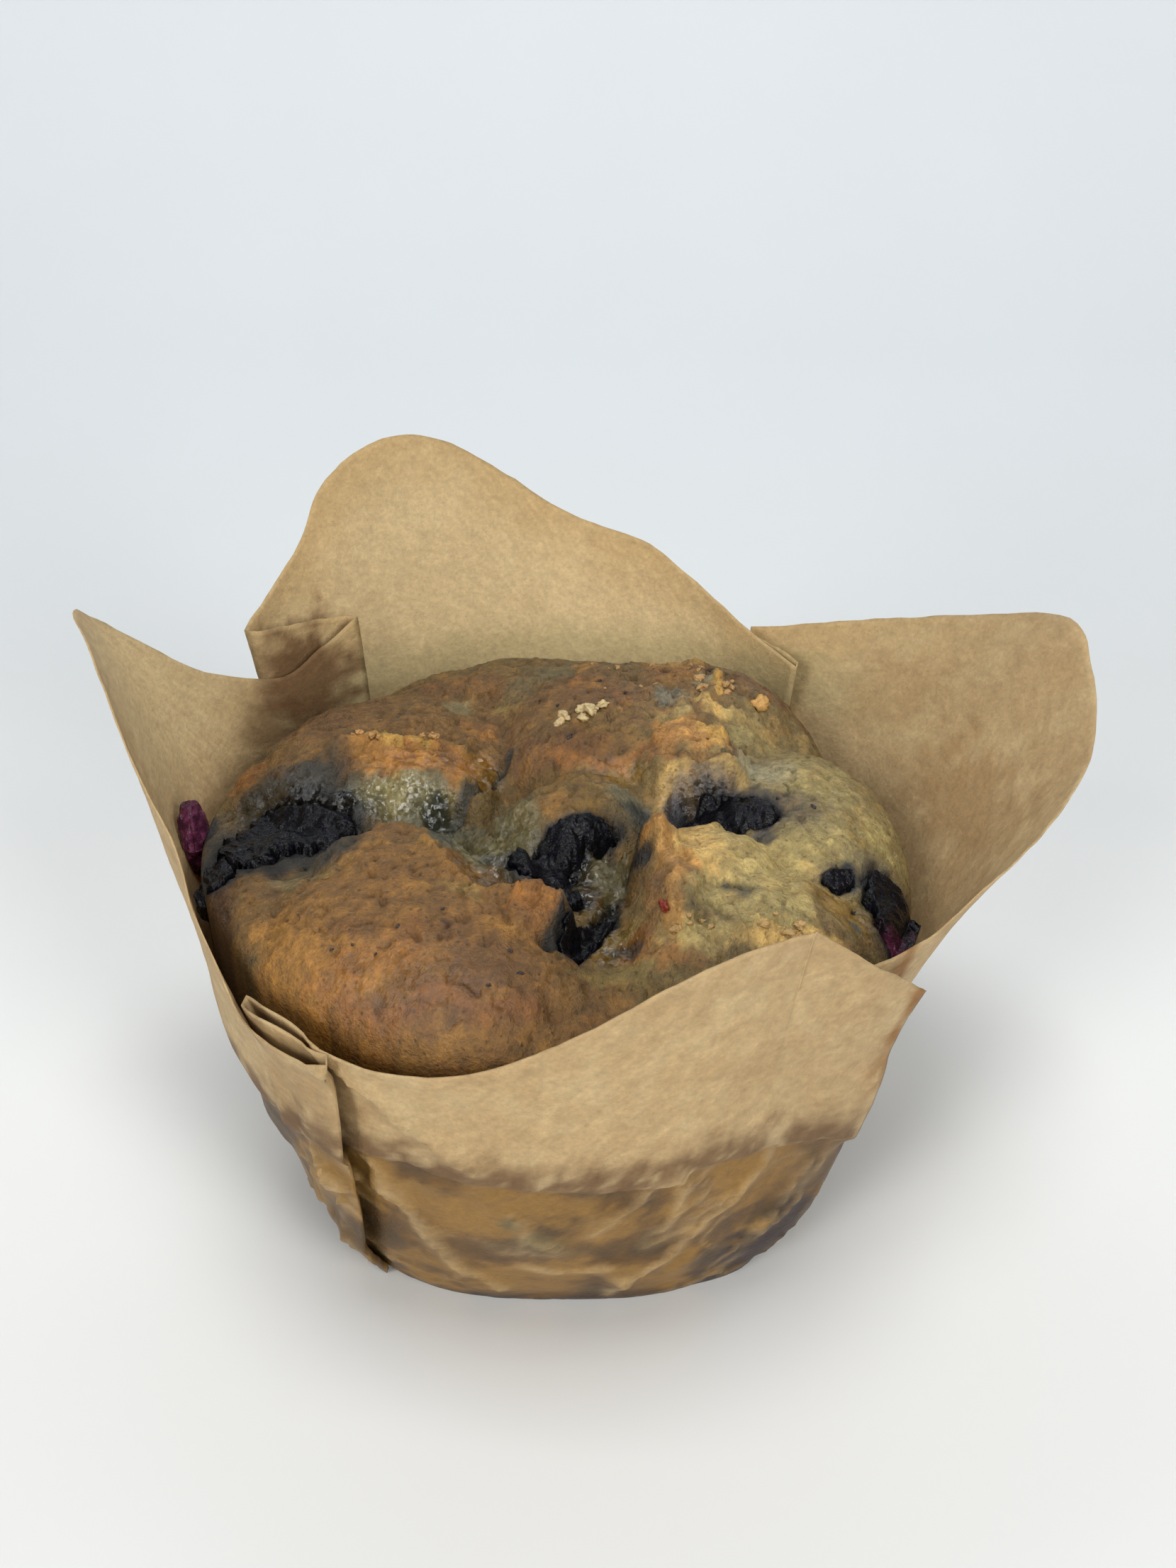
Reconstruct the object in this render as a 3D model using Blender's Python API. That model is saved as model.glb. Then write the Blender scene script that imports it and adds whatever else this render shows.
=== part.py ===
"""A berry muffin in its folded parchment case.

Metres, +Z up. The origin is the centre of the flat base, on the surface that the
muffin stands on; +Y is the back, where the tallest petal of the case stands.
"""
import math

import bmesh
import bpy
from mathutils import Matrix, Vector, noise

MM = 0.001

# The cup: a rounded square on the surface that widens into a round rim.
BASE_HALF_WIDTH = 25.8 * MM
BASE_SQUARENESS = 2.8
RIM_RADIUS = 38.9 * MM
RIM_HEIGHT = 42.0 * MM
WALL_POWER = 2.2
ROUND_FROM_HEIGHT = 24.0 * MM

# The parchment.
PAPER_THICKNESS = 0.3 * MM
FLARE_FROM_HEIGHT = 33.0 * MM
FLARE_POWER = 1.25
PAPER_ROWS = 12
PETAL_COLUMNS = 17
PLEAT_COLUMNS = 3
PLEAT_MIDDLE = 0.85 * MM
PLEAT_OUTSIDE = 2.0 * MM
PLEAT_LIFT_ANGLE = 14.0
PLEAT_MIDDLE_AT_BASE = 0.3 * MM
PLEAT_OUTSIDE_AT_BASE = 1.0 * MM
PLEAT_OPEN_SHARE = 0.3
TURN_POWER = 0.7

# Each petal runs anticlockwise from the inner fold of one pleat to the outer fold of
# the next. Its points along the free edge are (azimuth in degrees, radius, height) in
# millimetres; base gives the azimuths of the same two folds where the cup stands.
PETALS = {
    "front": {
        "base": (-137.0, -46.0),
        "edge": [(-133, 40.5, 43.6), (-123, 40.5, 43.2), (-113.5, 40.8, 41.9),
                 (-99.5, 40.5, 43.3), (-88.5, 41.0, 47.4), (-77.2, 41.5, 52.4),
                 (-68.5, 42.2, 54.9), (-60.5, 42.4, 55.2), (-59.0, 42.5, 54.9),
                 (-50, 43.2, 49.2), (-38, 43.4, 42.0)],
    },
    "right": {
        "base": (-52.0, 49.0),
        "edge": [(-47, 40.3, 46.4), (-36, 42.5, 46.6), (-29, 44.5, 48.3),
                 (-22, 47.6, 50.8), (-15, 50.6, 52.4), (-9, 53.4, 54.6),
                 (-4, 55.4, 56.6), (5, 57.6, 61.0), (12, 58.2, 64.0),
                 (24, 55.0, 60.6), (35, 51.5, 57.6), (47, 47.8, 54.8), (57, 45.4, 53.2)],
    },
    "back": {
        "base": (43.0, 139.0),
        "edge": [(44.5, 41.4, 51.2), (57, 43.4, 54.0), (69, 47.0, 58.3), (77, 49.6, 61.7),
                 (85.4, 51.6, 63.4), (92.6, 53.0, 66.0), (99.5, 53.6, 70.3),
                 (107, 54.0, 74.4), (114, 54.0, 76.0), (121.7, 53.0, 74.4),
                 (128, 51.8, 70.8), (132.6, 50.2, 65.4), (139.5, 48.2, 61.4),
                 (148, 46.0, 57.8)],
    },
    "left": {
        "base": (133.0, 229.0),
        "edge": [(129.5, 42.0, 56.7), (138, 41.8, 53.8), (146, 42.5, 51.9),
                 (157, 45.8, 55.0), (163, 49.5, 59.6), (168, 52.6, 64.4),
                 (173.5, 51.8, 67.0), (181, 48.0, 66.1), (188, 45.3, 63.7),
                 (194, 43.6, 60.8), (200, 42.0, 56.6), (207, 40.4, 52.4),
                 (214, 40.4, 47.8), (222, 41.0, 45.0), (228, 42.0, 42.6),
                 (235, 42.2, 41.4), (243, 42.0, 42.3)],
    },
}
PETAL_ORDER = ("front", "right", "back", "left")

# The cake fills the cup with a small gap to the parchment.
CAKE_GAP = 0.4 * MM
CAKE_RIM_HEIGHT = 42.5 * MM
CAKE_RIM_RISE = 3.0 * MM
CAKE_RISE_AZIMUTH = 150.0
EDGE_ROUNDING = 7.0
CAKE_COLUMNS = 60
CAKE_RINGS = 14
CAKE_WALL_ROWS = 6
VALLEY_HEIGHT = 45.2
LOBE_DROP = 6.0
LOBE_BLEND = 0.7
CRUST_ROUGHNESS = 0.5

# Each lobe of the cracked crown: x, y and height of its crest, its reach along and
# across (where it has fallen by LOBE_DROP), in millimetres, and its turn in degrees.
LOBES = {
    "front_left_dome": (-14.0, -25.0, 50.3, 18.0, 18.0, 0.0),
    "front_left_ridge": (-13.0, -15.0, 50.2, 13.0, 8.0, -8.0),
    "front_left_tip": (-1.5, -22.0, 49.8, 6.0, 7.0, 60.0),
    "left_shoulder": (-31.0, -21.0, 47.6, 10.0, 14.0, 0.0),
    "back_left_dome": (-21.0, 12.0, 52.0, 19.0, 16.0, 0.0),
    "back_left_lip": (-18.0, 2.8, 51.0, 12.0, 5.5, -17.0),
    "middle": (2.0, -3.0, 50.8, 9.5, 8.0, 20.0),
    "back_right_dome": (8.0, 16.0, 54.2, 18.0, 17.0, 0.0),
    "back_right_knob": (14.5, 3.4, 53.6, 7.0, 6.0, 0.0),
    "back_edge": (-4.0, 27.0, 52.8, 22.0, 12.0, 0.0),
    "back_right_edge": (19.0, 22.0, 54.6, 12.0, 13.0, 0.0),
    "right_dome": (27.0, 0.0, 50.2, 14.0, 17.0, 0.0),
    "front_right_dome": (18.0, -24.0, 50.0, 13.0, 15.0, 0.0),
    "front_right_ridge": (11.0, -21.0, 51.4, 9.5, 4.5, -80.0),
    "peak": (9.8, -13.0, 52.2, 4.5, 4.0, 0.0),
}

# Each berry that shows: centre and half sizes in millimetres, its turn about +Z in
# degrees, and its finish.
BERRY_GAP = 0.35 * MM
BERRY_SEGMENTS = 12
BERRY_RINGS = 8
BERRY_DENT = 0.1
BERRIES = {
    "berry_left_large": ((-28.5, -5.3, 44.6), (6.2, 4.0, 2.9), 5.0, "skin"),
    "berry_left_low": ((-34.4, -11.5, 43.3), (2.0, 2.6, 3.0), 0.0, "skin"),
    "berry_left_edge": ((-38.8, -1.8, 45.2), (1.9, 3.2, 3.2), 0.0, "flesh"),
    "berry_centre": ((0.2, -10.8, 46.6), (5.6, 3.0, 2.6), 40.0, "skin"),
    "berry_centre_small": ((0.7, -17.0, 47.0), (2.0, 1.5, 1.8), 0.0, "skin"),
    "berry_front": ((3.6, -21.8, 45.2), (4.8, 2.0, 2.6), 62.0, "skin"),
    "berry_upper_right": ((17.2, -5.6, 46.4), (4.8, 2.9, 2.6), -8.0, "skin"),
    "berry_right_skin": ((27.6, -14.3, 45.3), (1.9, 1.6, 1.8), 20.0, "skin"),
    "berry_right_edge": ((33.0, -15.8, 43.6), (2.6, 4.2, 4.4), 27.0, "flesh"),
}


def clear_scene():
    for thing in list(bpy.data.objects):
        bpy.data.objects.remove(thing, do_unlink=True)


def make_material(name, colour, roughness):
    material = bpy.data.materials.new(name)
    material.use_nodes = True
    surface = material.node_tree.nodes["Principled BSDF"]
    surface.inputs["Base Color"].default_value = (*colour, 1.0)
    surface.inputs["Roughness"].default_value = roughness
    surface.inputs["Metallic"].default_value = 0.0
    return material


def parchment_material():
    return make_material("parchment", (0.55, 0.42, 0.22), 0.62)


def crumb_material():
    return make_material("crumb", (0.27, 0.16, 0.06), 0.55)


def berry_skin_material():
    return make_material("berry_skin", (0.012, 0.014, 0.028), 0.35)


def berry_flesh_material():
    return make_material("berry_flesh", (0.08, 0.02, 0.045), 0.4)


def smoothstep(low, high, value):
    t = min(1.0, max(0.0, (value - low) / (high - low)))
    return t * t * (3.0 - 2.0 * t)


def square_radius(azimuth):
    """Radius of the rounded square that the cup stands on."""
    power = BASE_SQUARENESS
    across = abs(math.cos(azimuth)) ** power + abs(math.sin(azimuth)) ** power
    return BASE_HALF_WIDTH * across ** (-1.0 / power)


def cup_radius(azimuth, height):
    """Outer radius of the cup: square at the base, round from mid height up."""
    rise = min(1.0, max(0.0, height / RIM_HEIGHT))
    bowl = (1.0 - rise) ** WALL_POWER
    round_radius = RIM_RADIUS - (RIM_RADIUS - BASE_HALF_WIDTH) * bowl
    corner = square_radius(azimuth) - BASE_HALF_WIDTH
    return round_radius + corner * (1.0 - smoothstep(0.0, ROUND_FROM_HEIGHT, height))


def along_edge(points, t):
    """Point at t from 0 to 1 on a smooth curve through the points."""
    spans = len(points) - 1
    place = min(t, 1.0) * spans
    index = min(int(place), spans - 1)
    near = place - index
    before = points[max(index - 1, 0)]
    start = points[index]
    end = points[index + 1]
    after = points[min(index + 2, spans)]
    result = []
    for a, b, c, d in zip(before, start, end, after):
        curve = 2 * b + (c - a) * near
        curve += (2 * a - 5 * b + 4 * c - d) * near ** 2
        curve += (3 * b - a - 3 * c + d) * near ** 3
        result.append(curve / 2)
    return result


def paper_point(rib, height_share):
    """Point on a rib of the parchment, from its base (0) to its free edge (1)."""
    rim_azimuth, rim_radius, rim_height = rib["edge"]
    turn = math.sin(height_share * math.pi / 2.0) ** TURN_POWER
    azimuth = math.radians(rib["base"] + (rim_azimuth - rib["base"]) * turn)
    height = rim_height * MM * height_share
    top = rim_height * MM
    opened = smoothstep(0.0, PLEAT_OPEN_SHARE, height_share)
    lift = rib["base_lift"] + (rib["lift"] - rib["base_lift"]) * opened
    flare = max(0.0, (height - FLARE_FROM_HEIGHT) / (top - FLARE_FROM_HEIGHT)) ** FLARE_POWER
    spread = rim_radius * MM - cup_radius(azimuth, top)
    radius = cup_radius(azimuth, height) + spread * flare + lift * (1.0 - flare)
    return Vector((radius * math.cos(azimuth), radius * math.sin(azimuth), height))


def petal_ribs(petal):
    """Ribs of one petal, lifted off the cup only where it ends on top of a pleat."""
    ribs = []
    base_start, base_end = petal["base"]
    for column in range(PETAL_COLUMNS + 1):
        t = column / PETAL_COLUMNS
        edge = along_edge(petal["edge"], t)
        base = base_start + (base_end - base_start) * t
        risen = smoothstep(base_end - PLEAT_LIFT_ANGLE, base_end, base)
        ribs.append({
            "edge": edge,
            "base": base,
            "lift": risen * PLEAT_OUTSIDE,
            "base_lift": risen * PLEAT_OUTSIDE_AT_BASE,
        })
    return ribs


def pleat_ribs(outer_fold, inner_fold):
    """Ribs of the layer between two petals, which runs back under the first one."""
    ribs = []
    for column in range(PLEAT_COLUMNS + 1):
        t = column / PLEAT_COLUMNS
        lean = [a + (b - a) * t for a, b in zip(outer_fold["edge"], inner_fold["edge"])]
        gap_share = 1.0 - smoothstep(0.0, 1.0, t)
        lean[1] -= (PLEAT_OUTSIDE - PLEAT_MIDDLE) / MM * gap_share
        lean[1] += PLEAT_MIDDLE / MM * (1.0 - gap_share)
        base = outer_fold["base"] + (inner_fold["base"] - outer_fold["base"]) * t
        ribs.append({
            "edge": lean,
            "base": base,
            "lift": PLEAT_MIDDLE,
            "base_lift": PLEAT_MIDDLE_AT_BASE,
        })
    return ribs


def all_ribs():
    petals = [petal_ribs(PETALS[name]) for name in PETAL_ORDER]
    ribs = []
    for index, petal in enumerate(petals):
        following = petals[(index + 1) % len(petals)]
        inner_fold = dict(following[0])
        if index == len(petals) - 1:
            azimuth, radius, height = inner_fold["edge"]
            inner_fold["edge"] = [azimuth + 360.0, radius, height]
            inner_fold["base"] += 360.0
        ribs += petal
        ribs += pleat_ribs(petal[-1], inner_fold)
    return ribs


def build_paper_case():
    """One folded sheet: walls drawn over a grid, a flat base, then its thickness."""
    ribs = all_ribs()
    ribs.append(ribs[0])
    columns = len(ribs) - 1
    bm = bmesh.new()
    bmesh.ops.create_grid(bm, x_segments=columns, y_segments=PAPER_ROWS, size=0.5)
    for vert in bm.verts:
        rib = ribs[round((vert.co.x + 0.5) * columns)]
        share = min(1.0, max(0.0, vert.co.y + 0.5))
        vert.co = paper_point(rib, share)
    bmesh.ops.remove_doubles(bm, verts=bm.verts, dist=1e-6)
    base_edges = [e for e in bm.edges if e.is_boundary and max(v.co.z for v in e.verts) < 1e-6]
    bmesh.ops.contextual_create(bm, geom=base_edges)
    bmesh.ops.recalc_face_normals(bm, faces=bm.faces)
    base = min(bm.faces, key=lambda face: face.calc_center_median().z)
    if base.normal.z > 0.0:
        bmesh.ops.reverse_faces(bm, faces=bm.faces)
    case = add_object("paper_case", bm, parchment_material())
    wall = case.modifiers.new("thickness", "SOLIDIFY")
    wall.thickness = PAPER_THICKNESS
    wall.offset = -1.0
    wall.use_even_offset = False
    return case


def lobe_height(x, y, lobe):
    """Height in millimetres of one rounded lobe over a point of the crown."""
    centre_x, centre_y, crest, reach_along, reach_across, turn = lobe
    angle = math.radians(turn)
    along = (x - centre_x) * math.cos(angle) + (y - centre_y) * math.sin(angle)
    across = (y - centre_y) * math.cos(angle) - (x - centre_x) * math.sin(angle)
    away = math.hypot(along / reach_along, across / reach_across)
    return crest - LOBE_DROP * away ** 3


def cake_rim_height(azimuth):
    """Height where the cake's side turns over, which stands higher at the back left."""
    return CAKE_RIM_HEIGHT + CAKE_RIM_RISE * math.cos(azimuth - math.radians(CAKE_RISE_AZIMUTH))


def crown_height(x, y, rim_share):
    """Height of the crown: its lobes blended, then rounded down to the rim."""
    heights = [lobe_height(x / MM, y / MM, lobe) for lobe in LOBES.values()]
    heights.append(VALLEY_HEIGHT)
    tallest = max(heights)
    total = sum(math.exp((height - tallest) / LOBE_BLEND) for height in heights)
    crown = tallest + LOBE_BLEND * math.log(total)
    crown += CRUST_ROUGHNESS * noise.noise(Vector((x, y, 0.0)) / (5.0 * MM))
    edge = math.sqrt(max(0.0, 1.0 - rim_share ** EDGE_ROUNDING))
    rim = cake_rim_height(math.atan2(y, x))
    return rim + (crown * MM - rim) * edge


def cake_radius(azimuth, height):
    return cup_radius(azimuth, height) - PAPER_THICKNESS - CAKE_GAP


def cake_point(column_share, row_share):
    """Point on the cake's skin, from the centre of its base round to its crown."""
    azimuth = 2.0 * math.pi * column_share
    bottom = PAPER_THICKNESS + CAKE_GAP
    rim = cake_rim_height(azimuth)
    rows = 1 + CAKE_WALL_ROWS + CAKE_RINGS
    row = row_share * rows
    if row <= 1.0 + CAKE_WALL_ROWS:
        wall_share = max(0.0, row - 1.0) / CAKE_WALL_ROWS
        height = bottom + (rim - bottom) * wall_share
        radius = cake_radius(azimuth, height) * min(1.0, row)
    else:
        ring_share = (row - 1.0 - CAKE_WALL_ROWS) / CAKE_RINGS
        rim_share = math.cos(ring_share * math.pi / 2.0) ** 0.8
        radius = cake_radius(azimuth, rim) * rim_share
        height = crown_height(radius * math.cos(azimuth), radius * math.sin(azimuth), rim_share)
    return Vector((radius * math.cos(azimuth), radius * math.sin(azimuth), height))


def build_cake():
    """The whole cake, one solid from its flat base to its crown."""
    rows = 1 + CAKE_WALL_ROWS + CAKE_RINGS
    bm = bmesh.new()
    bmesh.ops.create_grid(bm, x_segments=CAKE_COLUMNS, y_segments=rows, size=0.5)
    for vert in bm.verts:
        vert.co = cake_point((vert.co.x + 0.5) % 1.0, min(1.0, max(0.0, vert.co.y + 0.5)))
    bmesh.ops.remove_doubles(bm, verts=bm.verts, dist=1e-6)
    bmesh.ops.recalc_face_normals(bm, faces=bm.faces)
    return add_object("cake", bm, crumb_material())


def berry_mesh(centre, half_sizes, turn, extra):
    """A soft round berry, dented by its own slow noise and grown by extra."""
    bm = bmesh.new()
    bmesh.ops.create_uvsphere(bm, u_segments=BERRY_SEGMENTS, v_segments=BERRY_RINGS, radius=1.0)
    middle = Vector(centre) * MM
    for vert in bm.verts:
        dent = 1.0 + BERRY_DENT * noise.noise(vert.co * 1.3 + Vector(centre))
        sizes = [half * MM * dent + extra for half in half_sizes]
        vert.co = Vector([a * b for a, b in zip(vert.co, sizes)])
    bmesh.ops.rotate(bm, verts=bm.verts, cent=(0, 0, 0), matrix=Matrix.Rotation(math.radians(turn), 3, "Z"))
    bmesh.ops.translate(bm, verts=bm.verts, vec=middle)
    return bm


def build_berry(name, finishes):
    centre, half_sizes, turn, finish = BERRIES[name]
    return add_object(name, berry_mesh(centre, half_sizes, turn, 0.0), finishes[finish])


def cut_pocket(cake, name):
    """Leaves room for one berry in the cake."""
    centre, half_sizes, turn, finish = BERRIES[name]
    cutter = add_object("pocket_" + name, berry_mesh(centre, half_sizes, turn, BERRY_GAP), None)
    cutter.hide_render = True
    cutter.display_type = "WIRE"
    pocket = cake.modifiers.new("pocket_" + name, "BOOLEAN")
    pocket.operation = "DIFFERENCE"
    pocket.object = cutter


def add_object(name, bm, material):
    mesh = bpy.data.meshes.new(name)
    bm.to_mesh(mesh)
    bm.free()
    if material:
        mesh.materials.append(material)
    mesh.shade_smooth()
    thing = bpy.data.objects.new(name, mesh)
    bpy.context.scene.collection.objects.link(thing)
    return thing


def main():
    clear_scene()
    build_paper_case()
    cake = build_cake()
    finishes = {"skin": berry_skin_material(), "flesh": berry_flesh_material()}
    for name in BERRIES:
        build_berry(name, finishes)
        cut_pocket(cake, name)


main()
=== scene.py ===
import math
import random

import bmesh
import bpy
import numpy as np
from mathutils import Matrix, Vector, noise


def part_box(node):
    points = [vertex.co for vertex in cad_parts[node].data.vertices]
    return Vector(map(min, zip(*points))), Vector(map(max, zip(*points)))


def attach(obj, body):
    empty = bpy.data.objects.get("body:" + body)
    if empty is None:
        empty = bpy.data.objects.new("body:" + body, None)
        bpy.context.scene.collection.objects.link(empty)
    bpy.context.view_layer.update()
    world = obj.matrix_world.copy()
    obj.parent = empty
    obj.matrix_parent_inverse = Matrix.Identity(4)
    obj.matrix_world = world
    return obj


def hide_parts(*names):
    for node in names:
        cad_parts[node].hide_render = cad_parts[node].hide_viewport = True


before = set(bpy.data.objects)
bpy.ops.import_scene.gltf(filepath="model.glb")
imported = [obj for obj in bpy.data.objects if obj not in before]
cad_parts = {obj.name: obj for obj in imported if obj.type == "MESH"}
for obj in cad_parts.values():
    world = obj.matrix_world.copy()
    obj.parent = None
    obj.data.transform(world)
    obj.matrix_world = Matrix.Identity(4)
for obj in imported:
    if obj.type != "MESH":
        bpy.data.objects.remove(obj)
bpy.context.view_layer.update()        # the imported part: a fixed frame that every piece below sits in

mm = 0.001               # the dictionaries below are in millimetres and degrees


def smooth(low, high, value):
    t = np.clip((value - low) / (high - low), 0.0, 1.0)
    return t * t * (3.0 - 2.0 * t)


def screenTone(red, green, blue):      # a colour as it reads on a screen, made linear
    shares = np.array([red, green, blue]) / 255.0
    return np.where(shares < 0.04045, shares / 12.92, ((shares + 0.055) / 1.055) ** 2.4)


def grain(points, size, octaves=3, seed=0.0):      # noise from slow to fine, about -1 to 1
    shift = Vector((seed, 3.1 * seed, -1.7 * seed))
    rows = (np.asarray(points) / size).tolist()
    return np.array([noise.fractal(Vector(row) + shift, 1.0, 2.0, octaves) for row in rows])


def cells(points, size, seed=0.0):      # how far each point is from its nearest cell wall
    shift = Vector((seed, -seed, 2.0 * seed))
    rows = (np.asarray(points) / size).tolist()
    found = [noise.voronoi(Vector(row) + shift)[0] for row in rows]
    return np.array([near[1] - near[0] for near in found])


def flat(x, y):
    return np.stack([x, y, np.zeros_like(x)], -1)


def ellipseAway(x, y, spot):      # 0 at the middle of a turned ellipse, 1 on its outline
    middleX, middleY, along, across, turn = spot[:5]
    angle = math.radians(turn)
    a = (x - middleX) * math.cos(angle) + (y - middleY) * math.sin(angle)
    b = (y - middleY) * math.cos(angle) - (x - middleX) * math.sin(angle)
    return np.hypot(a / along, b / across)


def strokeAway(x, y, line):      # distance to the nearest point of a bent line
    best = np.full(x.shape, 1e9)
    for (x0, y0), (x1, y1) in zip(line[:-1], line[1:]):
        lengthSquared = (x1 - x0) ** 2 + (y1 - y0) ** 2
        share = np.clip(((x - x0) * (x1 - x0) + (y - y0) * (y1 - y0)) / lengthSquared, 0.0, 1.0)
        away = np.hypot(x - x0 - share * (x1 - x0), y - y0 - share * (y1 - y0))
        best = np.minimum(best, away)
    return best


def placesOf(verts):
    return np.array([vert.co[:] for vert in verts])


def moveTo(bm, places):
    for vert, place in zip(bm.verts, places.tolist()):
        vert.co = place


def keepNumbers(bm, name, values):      # a number for each vertex, before the mesh is made
    layer = bm.verts.layers.float.new(name)
    for vert, value in zip(bm.verts, values.tolist()):
        vert[layer] = value


def toMetres(bm):
    bmesh.ops.scale(bm, verts=bm.verts, vec=(mm, mm, mm))


def addNumbers(mesh, name, values):
    attribute = mesh.attributes.new(name, "FLOAT", "POINT")
    attribute.data.foreach_set("value", np.asarray(values, np.float32))


def addTones(mesh, name, tones):
    attribute = mesh.attributes.new(name, "FLOAT_COLOR", "POINT")
    rows = np.concatenate([np.clip(tones, 0.0, 1.0), np.ones((len(tones), 1))], 1)
    attribute.data.foreach_set("color", rows.astype(np.float32).ravel())


def painter(tones, palette):      # draws the tones towards one of the palette, by share
    def toward(name, share):
        tones[:] += np.clip(share, 0.0, 1.0)[:, None] * (screenTone(*palette[name]) - tones)
    return toward


def readNumbers(mesh, name):
    values = np.zeros(len(mesh.vertices), np.float32)
    mesh.attributes[name].data.foreach_get("value", values)
    return values.astype(float)


def makeObject(name, bm, material):
    mesh = bpy.data.meshes.new(name)
    bm.to_mesh(mesh)
    bm.free()
    mesh.materials.append(material)
    mesh.shade_smooth()
    made = bpy.data.objects.new(name, mesh)
    bpy.context.scene.collection.objects.link(made)
    return made


def finishPiece(name, bm, material, slotName, *nodes):
    piece = makeObject(name, bm, material)
    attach(piece, "root")
    if nodes:
        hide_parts(*nodes)
    return piece


class Shader:      # one Principled material and short ways to wire nodes into it
    def __init__(self, name):
        self.material = bpy.data.materials.new(name)
        self.material.use_nodes = True
        self.tree = self.material.node_tree
        self.surface = self.tree.nodes["Principled BSDF"]
        self.place = self.add("ShaderNodeTexCoord").outputs["Object"]

    def add(self, kind, **settings):
        node = self.tree.nodes.new(kind)
        for key, value in settings.items():
            setattr(node, key, value)
        return node

    def link(self, source, target):
        self.tree.links.new(source, target)

    def feed(self, socket, source):
        self.link(source, self.surface.inputs[socket])

    def attribute(self, name, output):
        return self.add("ShaderNodeAttribute", attribute_name=name).outputs[output]

    def noise(self, size, detail=3.0, roughness=0.6, stretch=(1.0, 1.0, 1.0)):
        mapping = self.add("ShaderNodeMapping")
        mapping.inputs["Scale"].default_value = [axis / (size * mm) for axis in stretch]
        self.link(self.place, mapping.inputs["Vector"])
        node = self.add("ShaderNodeTexNoise")
        node.inputs["Scale"].default_value = 1.0
        node.inputs["Detail"].default_value = detail
        node.inputs["Roughness"].default_value = roughness
        self.link(mapping.outputs["Vector"], node.inputs["Vector"])
        return node.outputs["Fac"]

    def cells(self, size):
        node = self.add("ShaderNodeTexVoronoi")
        node.inputs["Scale"].default_value = 1.0 / (size * mm)
        self.link(self.place, node.inputs["Vector"])
        return node.outputs

    def facets(self, size):      # in each cell a small flat plane, tilted its own way
        cell = self.cells(size)
        away = self.combine("Vector", "SUBTRACT", self.place, cell["Position"])
        tilt = self.combine("Vector", "SUBTRACT", cell["Color"], (0.5, 0.5, 0.5))
        plane = self.combine("Vector", "DOT_PRODUCT", away["Vector"], tilt["Vector"])
        return self.times(plane["Value"], 1.0 / (size * mm))

    def span(self, source, fromLow, fromHigh, toLow, toHigh):
        node = self.add("ShaderNodeMapRange")
        for key, value in zip((1, 2, 3, 4), (fromLow, fromHigh, toLow, toHigh)):
            node.inputs[key].default_value = value
        self.link(source, node.inputs[0])
        return node.outputs[0]

    def combine(self, kind, operation, first, second):      # each is a value, or an output
        node = self.add("ShaderNode" + kind + "Math", operation=operation)
        for index, value in enumerate((first, second)):
            if isinstance(value, (float, tuple)):
                node.inputs[index].default_value = value
            else:
                self.link(value, node.inputs[index])
        return node.outputs

    def times(self, first, second):
        return self.combine("", "MULTIPLY", first, second)[0]

    def plus(self, first, second):
        return self.combine("", "ADD", first, second)[0]

    def tint(self, colour, amount):      # colour times a number
        node = self.add("ShaderNodeVectorMath", operation="SCALE")
        self.link(colour, node.inputs[0])
        self.link(amount, node.inputs["Scale"])
        return node.outputs[0]

    def mix(self, share, first, second):      # each is a colour, or another output
        node = self.add("ShaderNodeMix", data_type="RGBA")
        self.link(share, node.inputs["Factor"])
        for letter, colour in (("A", first), ("B", second)):
            if isinstance(colour, np.ndarray):
                node.inputs[letter].default_value = (*colour.tolist(), 1.0)
            else:
                self.link(colour, node.inputs[letter])
        return node.outputs["Result"]

    def bump(self, height, depth, strength=1.0):
        node = self.add("ShaderNodeBump")
        node.inputs["Strength"].default_value = strength
        node.inputs["Distance"].default_value = depth * mm
        self.link(height, node.inputs["Height"])
        self.feed("Normal", node.outputs["Normal"])

    def set(self, **values):
        for key, value in values.items():
            self.surface.inputs[key.replace("_", " ")].default_value = value


# The camera, the lights and the pale sweep that the muffin stands on.
studio = {
    "cameraAt": (3.0, -121.5, 113.3),
    "cameraDown": 27.7,
    "lens": 1789.0 / 2212.0 * 36.0,
    "sweepFrom": 150.0,
    "sweepRound": 260.0,
    "sweepUp": 1100.0,
    "sweepHalfWidth": 1500.0,
    "sweepFront": -1100.0,
    "floorTone": (226, 227, 226),
    "backdropTone": (203, 208, 212),
    # where each soft light is, how wide and tall it is, its power in watts and its tone
    "lights": {
        "soft_left": ((-600, -790, 430), (280, 620), 7.0, (1.0, 0.985, 0.955)),
        "soft_right": ((620, -790, 430), (280, 620), 7.0, (1.0, 0.985, 0.955)),
        "soft_above": ((0, -160, 1000), (400, 400), 4.6, (0.98, 0.99, 1.0)),
        "soft_behind": ((-70, 470, 640), (240, 240), 1.2, (1.0, 1.0, 1.0)),
    },
    "ambient": (0.86, 0.93, 1.0),
    "ambientPower": 0.12,
}


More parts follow.
